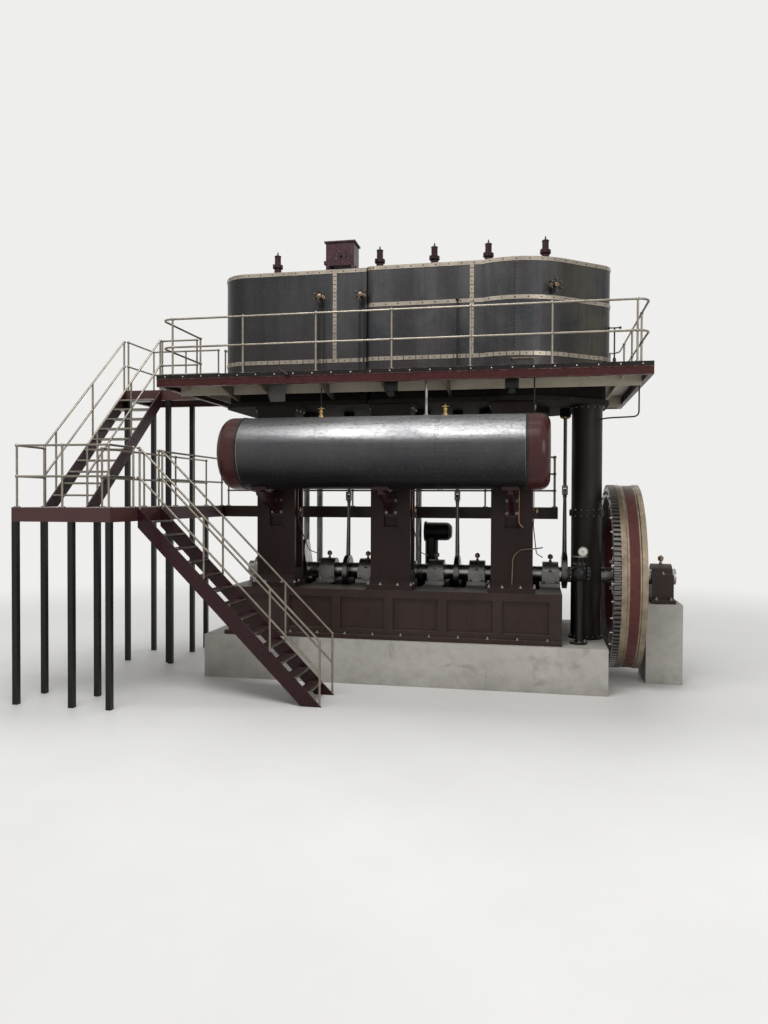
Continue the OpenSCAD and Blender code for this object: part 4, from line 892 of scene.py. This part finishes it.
def dress_spindle():
    """A spindle with a tee handle right of the casings, and an indicator rod between two of them."""
    iron, rods = bits["valve_iron"], bits["valve_rods"]
    x, y, handle_z, half = axes[2] + 1.80, -0.62, deck_top + 0.92, 0.10
    rods.rod((x, y, deck_top), (x, y, handle_z), 0.014)
    rods.rod((x - half, y, handle_z), (x + half, y, handle_z), 0.012)
    for end in (-half, half):
        rods.ball((x + end, y, handle_z), 0.026)
    socket = [(0.06, 0), (0.06, 0.02), (0.035, 0.03), (0.03, 0.36), (0.02, 0.38)]
    iron.turned((x, y, deck_top), UP, socket, 18)
    x, y, top = axes[1] + 1.228, band_low.y + 0.02, casing_top - 0.70
    iron.rod((x, y, deck_top), (x, y, top), 0.014)
    iron.ball((x, y, top), 0.034)


# Deck and stairs

EDGE_PITCH = 0.345


def dress_edges():
    """Pale rivets along the dark strip of the deck edges, a bolt in the channel under every second one."""
    for name, out in (("front_edge", FRONT), ("back_edge", -FRONT), ("right_edge", RIGHT)):
        low, high = corners(name)
        size = high - low
        along = 1 if out.x else 0
        at = (low + high + out * abs(size.dot(out))) / 2
        at.z = deck_top - 0.04
        count = round(size[along] / EDGE_PITCH)
        for i in range(count):
            at[along] = low[along] + size[along] * (i + 0.5) / count
            bits["edge_rivets"].rivet(at, out, 0.0135)
            if i % 2 == 0:
                bits["deck_bolts"].rivet(at - out * 0.010 - UP * 0.115, out, 0.012)


def dress_rails():
    """Bolts of the rail posts' feet."""
    foot = 0.012
    on_deck = ("front_handrail", "back_handrail", "right_handrail", "left_handrail", "top_landing_rails")
    for name in on_deck + ("landing_rails", "gallery_rails"):
        floor = deck_top if name in on_deck else landing_top
        for loop in slice_loops(name, floor + foot / 2):
            post = ring_of(centre_of(loop) + UP * foot / 2, UP, 0.041, 3, 0.4)
            bits["deck_bolts"].nuts_at(post, UP, 0.0085, False, False)


def dress_stairs():
    """Nosings of the treads, and the bolts at both ends of each tread."""
    flights = (("upper_stair", 11, landing_top, FRONT, RIGHT), ("lower_stair", 14, 0.0, RIGHT, -FRONT))
    string, tread = 0.032, 0.028
    for name, count, foot, down, side in flights:
        low, high = corners(name)
        run, width = abs((high - low).dot(down)), (high - low).dot(side)
        top = Vector((low.x, high.y if down == FRONT else low.y, high.z))
        for i in range(1, count):
            edge = top + down * (i * run / count + 0.02) - UP * (i * (high.z - foot) / count)
            bits["tread_nosings"].box(edge - down * 0.03 + side * string - UP * tread,
                                      edge + down * 0.006 + side * (width - string) + UP * 0.004)
            for offset, out in ((0, -side), (width, side)):
                at = edge - down * 0.11 + side * offset - UP * 0.015
                bits["deck_bolts"].nut(at, out, 0.011, stud=False)


def dress_deck_underside():
    """Hangers and a gusset under the front of the deck, and a drain lever on its edge."""
    dark, grey = bits["deck_hangers"], bits["deck_gusset"]
    y = deck_low.y + 0.30
    for x in (axes[1] + 0.15, axes[2] + 0.01):
        dark.box((x - 0.115, y - 0.05, deck_under - 0.31), (x + 0.115, y + 0.05, deck_under), 0.012)
        dark.box((x - 0.06, y - 0.03, deck_under - 0.40), (x + 0.06, y + 0.03, deck_under - 0.31), 0.012)
    x, y, thick = axes[0], deck_low.y + 0.60, 0.016
    grey.box((x - 0.10, y - 0.04, deck_under - thick), (x + 0.36, y + 0.10, deck_under))
    outline = ((-0.08, thick), (0.06, 0.41), (0.34, 0.41), (0.34, thick))
    grey.rings([[Vector((x + dx, side, deck_under - drop)) for dx, drop in outline]
                for side in (y, y + thick)])
    edge = corners("front_edge")[0].y
    grip = (axes[0] + 0.44, edge, deck_top + 0.04)
    x, z = axes[0] + 0.58, deck_top - 0.06
    dark.rod(grip, (x, edge - 0.02, z), 0.012)
    dark.turned((x, edge + 0.012, z), FRONT, [(0.03, 0), (0.03, 0.03), (0.014, 0.05)], 14)
    dark.ball(grip, 0.026)


# Drum

def dress_drum():
    """Rivet rows, the seam and the end laps of the receiver."""
    rivets = bits["drum_rivets"]
    from_end, inner_row, seam_row, side_gap = 0.022, 0.1012, 0.0275, 0.12
    seam_x = drum_mid.x + 1.0075

    def middle(x):
        return Vector((x, drum_mid.y, drum_mid.z))

    rows = []
    for end, inward in ((drum_low.x, 1), (drum_high.x, -1)):
        rows += [(end + inward * from_end, 36, 0.010, 0.009), (end + inward * inner_row, 36, 0.009, 0.0)]
    rows += [(seam_x - seam_row, 44, 0.0095, 0.0), (seam_x + seam_row, 44, 0.0095, 0.0)]
    for x, count, r, lift in rows:
        for at in ring_of(middle(x), RIGHT, drum_r + lift, count):
            rivets.rivet(at, at - middle(x), r)
    bits["drum_seam"].ring(middle(seam_x), RIGHT, drum_r, 0.0022, 72, 6)
    for low, high in islands("drum_straps"):
        for x in (low.x - 0.004, high.x + 0.004):
            bits["drum_laps"].ring(middle(x), RIGHT, drum_r, 0.0045, 72, 6)
    count = 40
    length = drum_high.x - drum_low.x - 2 * side_gap
    for lean in (0.0, math.radians(7)):
        out = UP * math.cos(lean) + FRONT * math.sin(lean)
        for i in range(count):
            x = drum_low.x + side_gap + i * length / (count - 1)
            rivets.rivet(middle(x) + out * drum_r, out, 0.0095)


def dress_drum_fittings():
    """Brass of the two cocks, thin pipes up to the deck, bolts of the saddles."""
    cock = [(0.055, 0), (0.055, 0.014), (0.03, 0.02), (0.026, 0.06), (0.04, 0.085),
            (0.036, 0.12), (0.02, 0.135), (0.016, 0.165), (0.024, 0.175), (0.006, 0.20)]
    for x in (left_cock.x, right_cock.x):
        bits["drum_brass"].turned((x, drum_mid.y, drum_high.z), UP, cock, 20)
    pipe_top = deck_top - 0.03
    for x, y, z, r in ((left_cock.x - 0.018, drum_mid.y + 0.06, drum_high.z + 0.12, 0.010),
                       (drum_high.x + 0.081, drum_mid.y, corners("drum_ends")[1].z - 0.09, 0.013)):
        bits["drum_pipes"].rod((x, y, z), (x, y, pipe_top), r)
    for low, high in islands("drum_brackets"):
        x = (low.x + high.x) / 2
        for dx in (-0.088, 0.088):
            spots = [(x + dx, high.y - 0.041, low.z + up) for up in (0.08, 0.30, 0.52)]
            bits["bracket_nuts"].nuts_at(spots, FRONT, 0.020)


# Columns, bed and bearings

def dress_frame():
    """Foot and head bolts of the columns and holding-down bolts of the bed."""
    nuts = bits["frame_nuts"]
    foot_top, head_under = bed_top + 0.09, foot_z - 0.07
    for axis, (low, high) in zip(axes, columns):
        for side in (-1, 1):
            foot, head = axis + side * 0.395, axis + side * 0.39
            nuts.nuts_at([(foot, low.y + dy, foot_top) for dy in (0.06, 0.32)], UP, 0.026)
            nuts.nuts_at([(head, low.y + dy, head_under) for dy in (0.21, 0.43, 0.65)], -UP, 0.020)
            nuts.nut((axis + side * 0.16, low.y + 0.02, foot_top), UP, 0.026)
    low, high = corners("bedplate")
    for y in (low.y + 0.03, high.y - 0.03):
        places = steps(low.x + 0.25, high.x - 0.1, 0.52)
        nuts.nuts_at([(x, y, foundation_top + 0.08) for x in places], UP, 0.024)


def dress_bearings():
    """Bolts and lubricators of the main bearings and the outboard bearing."""
    nuts, cups = bits["frame_nuts"], bits["lubricators"]
    cap_top, cup_z = shaft_z + 0.06, shaft_z + 0.237
    cup = [(0.03, 0), (0.03, 0.02), (0.018, 0.03), (0.018, 0.05), (0.048, 0.065), (0.05, 0.12),
           (0.03, 0.135), (0.012, 0.15)]
    end_cup = [(0.03, 0), (0.03, 0.02), (0.018, 0.05), (0.05, 0.065), (0.052, 0.13), (0.012, 0.16)]
    for x in [axis + off for axis in axes for off in (-0.7, 0.7)]:
        base = [(x + dx, y, bed_top + 0.07) for y in (-0.335, 0.335) for dx in (-0.11, 0.11)]
        nuts.nuts_at(base, UP, 0.026)
        nuts.nuts_at([(x, y, cap_top) for y in (-0.254, 0.254)], UP, 0.030)
        cups.turned((x, 0, cup_z), UP, cup, 20)
    low, high = corners("outboard_bearing")
    x = (low.x + high.x) / 2
    for side in (-1, 1):
        nuts.nuts_at([(x + dx, side * 0.37, low.z + 0.07) for dx in (-0.13, 0.13)], UP, 0.028)
        nuts.nut((x, side * 0.275, cap_top), UP, 0.032)
    cups.turned((x, 0, cup_z), UP, end_cup, 20)


def dress_oil_pipes():
    """Oil pipes down the columns with their sight boxes."""
    pipes, yellow = bits["oil_pipes"], bits["lubricators"]
    start = Vector((axes[2], columns[2][0].y + 0.12, bed_top))
    feed = ((0.125, 0.03, 1.90), (0.125, -0.02, 1.82), (0.125, -0.02, 1.23), (0.20, 0.0, 1.16))
    drain = ((0.007, -0.02, 0.10), (0.023, -0.03, 0.64), (0.145, -0.03, 0.77), (0.42, -0.02, 0.79),
             (0.54, 0.3, 0.79))
    pipes.tube([start + Vector(p) for p in feed], 0.010)
    yellow.tube([start + Vector(p) for p in drain], 0.011, 0.09)
    box_z, box_h = bed_top + 1.32, 0.10
    cup = [(0.035, 0), (0.035, 0.05), (0.012, 0.06), (0.012, 0.08)]
    for axis, (low, high) in zip(axes, columns):
        x, y = high.x - 0.035, low.y + 0.32
        pipes.tube([(x, y, foot_z - 0.2), (x, y, box_z - 0.02), (x - 0.01, y + 0.08, box_z - 0.12),
                    (x + 0.05, -0.6, box_z - 0.67), (axis + 0.55, -0.3, shaft_z + 0.34)], 0.009, 0.08)
        bits["oil_boxes"].box((x - 0.01, y - 0.06, box_z), (x + 0.07, y + 0.06, box_z + box_h))
        yellow.turned((x + 0.045, y, box_z + box_h), UP, cup)


# Running gear and wheel, in the position of the solid model

CRANK_THROW, ROD_LENGTH = 0.45, 1.95
FIRST_CRANK, CRANK_STEP = 25, 120


def crank_place(i):
    """Crankpin and crosshead centres of one engine."""
    a = math.radians(FIRST_CRANK + CRANK_STEP * i)
    y, z = -CRANK_THROW * math.sin(a), shaft_z + CRANK_THROW * math.cos(a)
    return Vector((axes[i], y, z)), Vector((axes[i], 0, z + math.sqrt(ROD_LENGTH ** 2 - y * y)))


def dress_rod(pin, head):
    """Bolts and brass of one rod's big end, fittings of its crosshead, and the gland above."""
    nuts, yellow = bits["gear_nuts"], bits["gear_brass"]
    along = (head - pin).normalized()
    across = along.cross(RIGHT).normalized()
    for side in (-1, 1):
        for dx in (-0.07, 0.07):
            spot = pin + across * side * 0.205 + RIGHT * dx
            nuts.nut(spot + along * 0.17, along, 0.024)
            nuts.nut(spot - along * 0.21, -along, 0.024)
    yellow.turned(pin + along * 0.17, along, [(0.0, 0.0), (0.11, 0.001), (0.11, 0.01), (0.1, 0.012)], 24)
    top = head + UP * 0.29
    for side in (-1, 1):
        out = RIGHT * side
        nuts.turned(head + out * 0.2, out, [(0.065, 0), (0.065, 0.012), (0.055, 0.018)], 24)
        nuts.nuts_at(ring_of(head + out * 0.212, out, 0.045, 4), out, 0.008, False, False)
        nuts.nuts_at([top + out * 0.06 + FRONT * dy for dy in (0.11, -0.11)], UP, 0.018)
    nuts.turned(top, UP, [(0.12, 0), (0.12, 0.012), (0.095, 0.02), (0.095, 0.09), (0.08, 0.1)], 6)
    gland = Vector((head.x, 0, foot_z - 0.35))
    for at in ring_of(gland, UP, 0.185, 6):
        nuts.nut(at, -UP, 0.022)
        nuts.rod(at, at + UP * 0.06, 0.011)
    yellow.turned(gland, -UP, [(0.13, 0), (0.13, 0.015), (0.1, 0.03), (0.078, 0.034)], 28)


def dress_gear():
    """Fittings of rods, crossheads, glands, barring ring and flywheel."""
    nuts = bits["gear_nuts"]
    for i in range(len(axes)):
        dress_rod(*crank_place(i))
    gland_z, rod_wide = foot_z - 0.16, 0.2
    ring = [(0.09, 0), (0.09, 0.02), (0.06, 0.035), (0.042, 0.04)]
    for low, high in islands("valve_gear"):
        if high.z >= foot_z - 0.2 and high.x - low.x <= rod_wide:
            gland = ((low.x + high.x) / 2, 0, gland_z)
            bits["gear_brass"].turned(gland, -UP, ring, 24)
            nuts.nuts_at(ring_of(gland, UP, 0.092, 4, 0.78), -UP, 0.013)
    nuts.nuts_at(ring_of((ring_low.x, 0, shaft_z), -RIGHT, wheel_r - 0.14, 32), -RIGHT, 0.022)
    for x, out in ((wheel_low.x + 0.02, -RIGHT), (wheel_high.x - 0.02, RIGHT)):
        nuts.nuts_at(ring_of((x, 0, shaft_z), out, 0.27, 8, 0.39), out, 0.034)
        nuts.turned((x, 0, shaft_z), out, [(0.2, 0), (0.2, 0.012), (0.152, 0.016), (0.152, 0.02)], 36)


# Pipes and gauge

def dress_pipes():
    """Flange bolts of the exhaust and bypass pipes, the drain pipe and the drip pipe."""
    nuts = bits["flange_nuts"]
    low, high = corners("exhaust_pipe")
    pipe_side = high.x
    radius = (high.x - low.x) / 2 - 0.018
    flanges = ((foundation_top + 0.045, UP), (foot_z - 0.045, -UP),
               (shaft_z + 1.241, UP), (shaft_z + 1.15, -UP))
    for z, out in flanges:
        centre = ((low.x + high.x) / 2, (low.y + high.y) / 2, z)
        nuts.nuts_at(ring_of(centre, UP, radius, 16), out, 0.013, False)
    low, high = corners("bypass_pipe")
    nuts.nuts_at(ring_of((low.x + 0.15, (low.y + high.y) / 2, bed_top + 0.035), UP, 0.17, 8), UP, 0.016)
    low, high = corners("right_edge")
    x, z = high.x - 0.06, low.z - 0.53
    bits["deck_hangers"].tube([(x, -1.0, low.z + 0.02), (x, -1.0, z + 0.01), (pipe_side + 0.02, -0.90, z),
                               (pipe_side - 0.10, -0.68, z)], 0.014, 0.10)
    x, y, z = axes[2], band_low.y, deck_top + 0.256
    bits["drip_pipe"].tube([(x - 0.03, y + 0.01, z - 0.016), (x - 0.01, y - 0.05, z),
                            (x + 0.40, y - 0.04, z), (x + 0.40, y - 0.04, deck_top)], 0.012)


def dress_stop_valve(x, y, z):
    """Flange bolts and hand wheel of the stop valve whose body is centred there."""
    nuts, wheel = bits["flange_nuts"], bits["valve_wheel"]
    nuts.nuts_at(ring_of((x, y, foundation_top + 0.04), UP, 0.12, 6), UP, 0.016)
    for side in (-1, 1):
        out = RIGHT * side
        nuts.nuts_at(ring_of((x + side * 0.155, y, z), out, 0.10, 8, 0.2), -out, 0.010, False)
    nuts.nuts_at(ring_of((x, y, z + 0.17), UP, 0.098, 8), UP, 0.010, False)
    hub = (x, y, z + 0.30)
    wheel.ring(hub, UP, 0.135, 0.012, 36)
    for at in ring_of(hub, UP, 0.13, 5):
        wheel.rod(hub, at, 0.009)


def dress_gauge(face):
    """Dial, rim, marks and hand of the gauge."""
    marks = bits["gauge_marks"]
    dial_r, marks_end, glass = 0.078, 0.070, FRONT * 0.005
    bits["gauge_dial"].turned(face, FRONT, [(dial_r, -0.001), (dial_r, 0.004)], 40)
    bits["gauge_rim"].ring(face + FRONT * 0.004, FRONT, dial_r + 0.004, 0.009, 40)
    first_mark, mark_step, count = 225, 27, 11
    for i in range(count):
        a = math.radians(first_mark - mark_step * i)
        long = 0.016 if i % 5 == 0 else 0.010
        out = RIGHT * math.cos(a) + UP * math.sin(a)
        marks.rod(face + out * (marks_end - long) + glass, face + out * marks_end + glass, 0.0014, 6)
    reading = 2.2
    hand = RIGHT * math.cos(reading) + UP * math.sin(reading)
    marks.rod(face - hand * 0.015 + FRONT * 0.007, face + hand * 0.055 + FRONT * 0.007, 0.0022, 6)
    marks.turned(face + FRONT * 0.004, FRONT, [(0.008, 0), (0.008, 0.005), (0.002, 0.007)], 12)


dress_bands()
dress_seams()
dress_lids()
dress_relief_valves()
dress_star_valves()
dress_vent_box()
dress_spindle()
dress_edges()
dress_rails()
dress_stairs()
dress_drum()
dress_drum_fittings()
dress_frame()
dress_bearings()
dress_oil_pipes()
dress_gear()
dress_pipes()
stand_low, stand_high = corners("gauge_stand")
valve_at = Vector((stand_low.x + 0.19, (stand_low.y + stand_high.y) / 2, shaft_z + 0.13))
dress_stop_valve(*valve_at)
dress_gauge(valve_at + Vector((0.06, -0.036, 0.385)))
dress_deck_underside()
for name, piece in bits.items():
    piece.make(name, finish_of[name])


# Floor, world and light

BACKDROP = (0.86, 0.855, 0.84)
SKY, SKY_STRENGTH = (0.80, 0.80, 0.79), 0.62
FADE_FROM, FADE_TO = 7.0, 20.0


def make_world():
    world = bpy.data.worlds.new("studio")
    bpy.context.scene.world = world
    world.use_nodes = True
    k = Tree(world.node_tree)
    sky = k.node("ShaderNodeBackground", Color=rgba(SKY), Strength=SKY_STRENGTH)
    plain = k.node("ShaderNodeBackground", Color=rgba(BACKDROP), Strength=1.0)
    k.node("ShaderNodeOutputWorld", Surface=k.blend(k.seen_ray(), sky, plain))


def floor_finish():
    """Pale floor that keeps the shadow near the engine and fades into the backdrop further out."""
    k = Look("floor")
    tone = k.patch((0.66, 0.655, 0.64), (0.70, 0.695, 0.68), k.noise(0.5, 5, 0.6))
    k.bump(k.noise(8.0, 5, 0.6), 0.002, 0.2)
    k.done(tone, 0.55)
    away = k.span(k.distance(k.axis("X"), k.axis("Y")), FADE_FROM, FADE_TO, smooth=True)
    glow = k.node("ShaderNodeEmission", Color=rgba(BACKDROP))
    k.feed(k.out, Surface=k.blend(k.times(k.seen_ray(), away), k.bsdf, glow))
    return k.mat


def make_floor():
    bpy.ops.mesh.primitive_plane_add(size=160, location=(0, 0, -0.002))
    ground = bpy.context.object
    ground.name = "floor"
    ground.data.materials.append(floor_finish())


make_floor()
bpy.context.scene.view_settings.view_transform = "Standard"
make_camera()
make_world()
area_light("key", at=(-2.2, -9.5, 16.0), target=(0, -1.5, 4.5), size=(8.0, 5.0), power=1400)
area_light("fill", at=(11.0, -13.0, 7.0), target=(1, 0, 4.0), size=(7.0, 7.0), power=500)
area_light("over", at=(0.0, 2.0, 17.0), target=(0, 0, 5.0), size=(10.0, 8.0), power=1400)
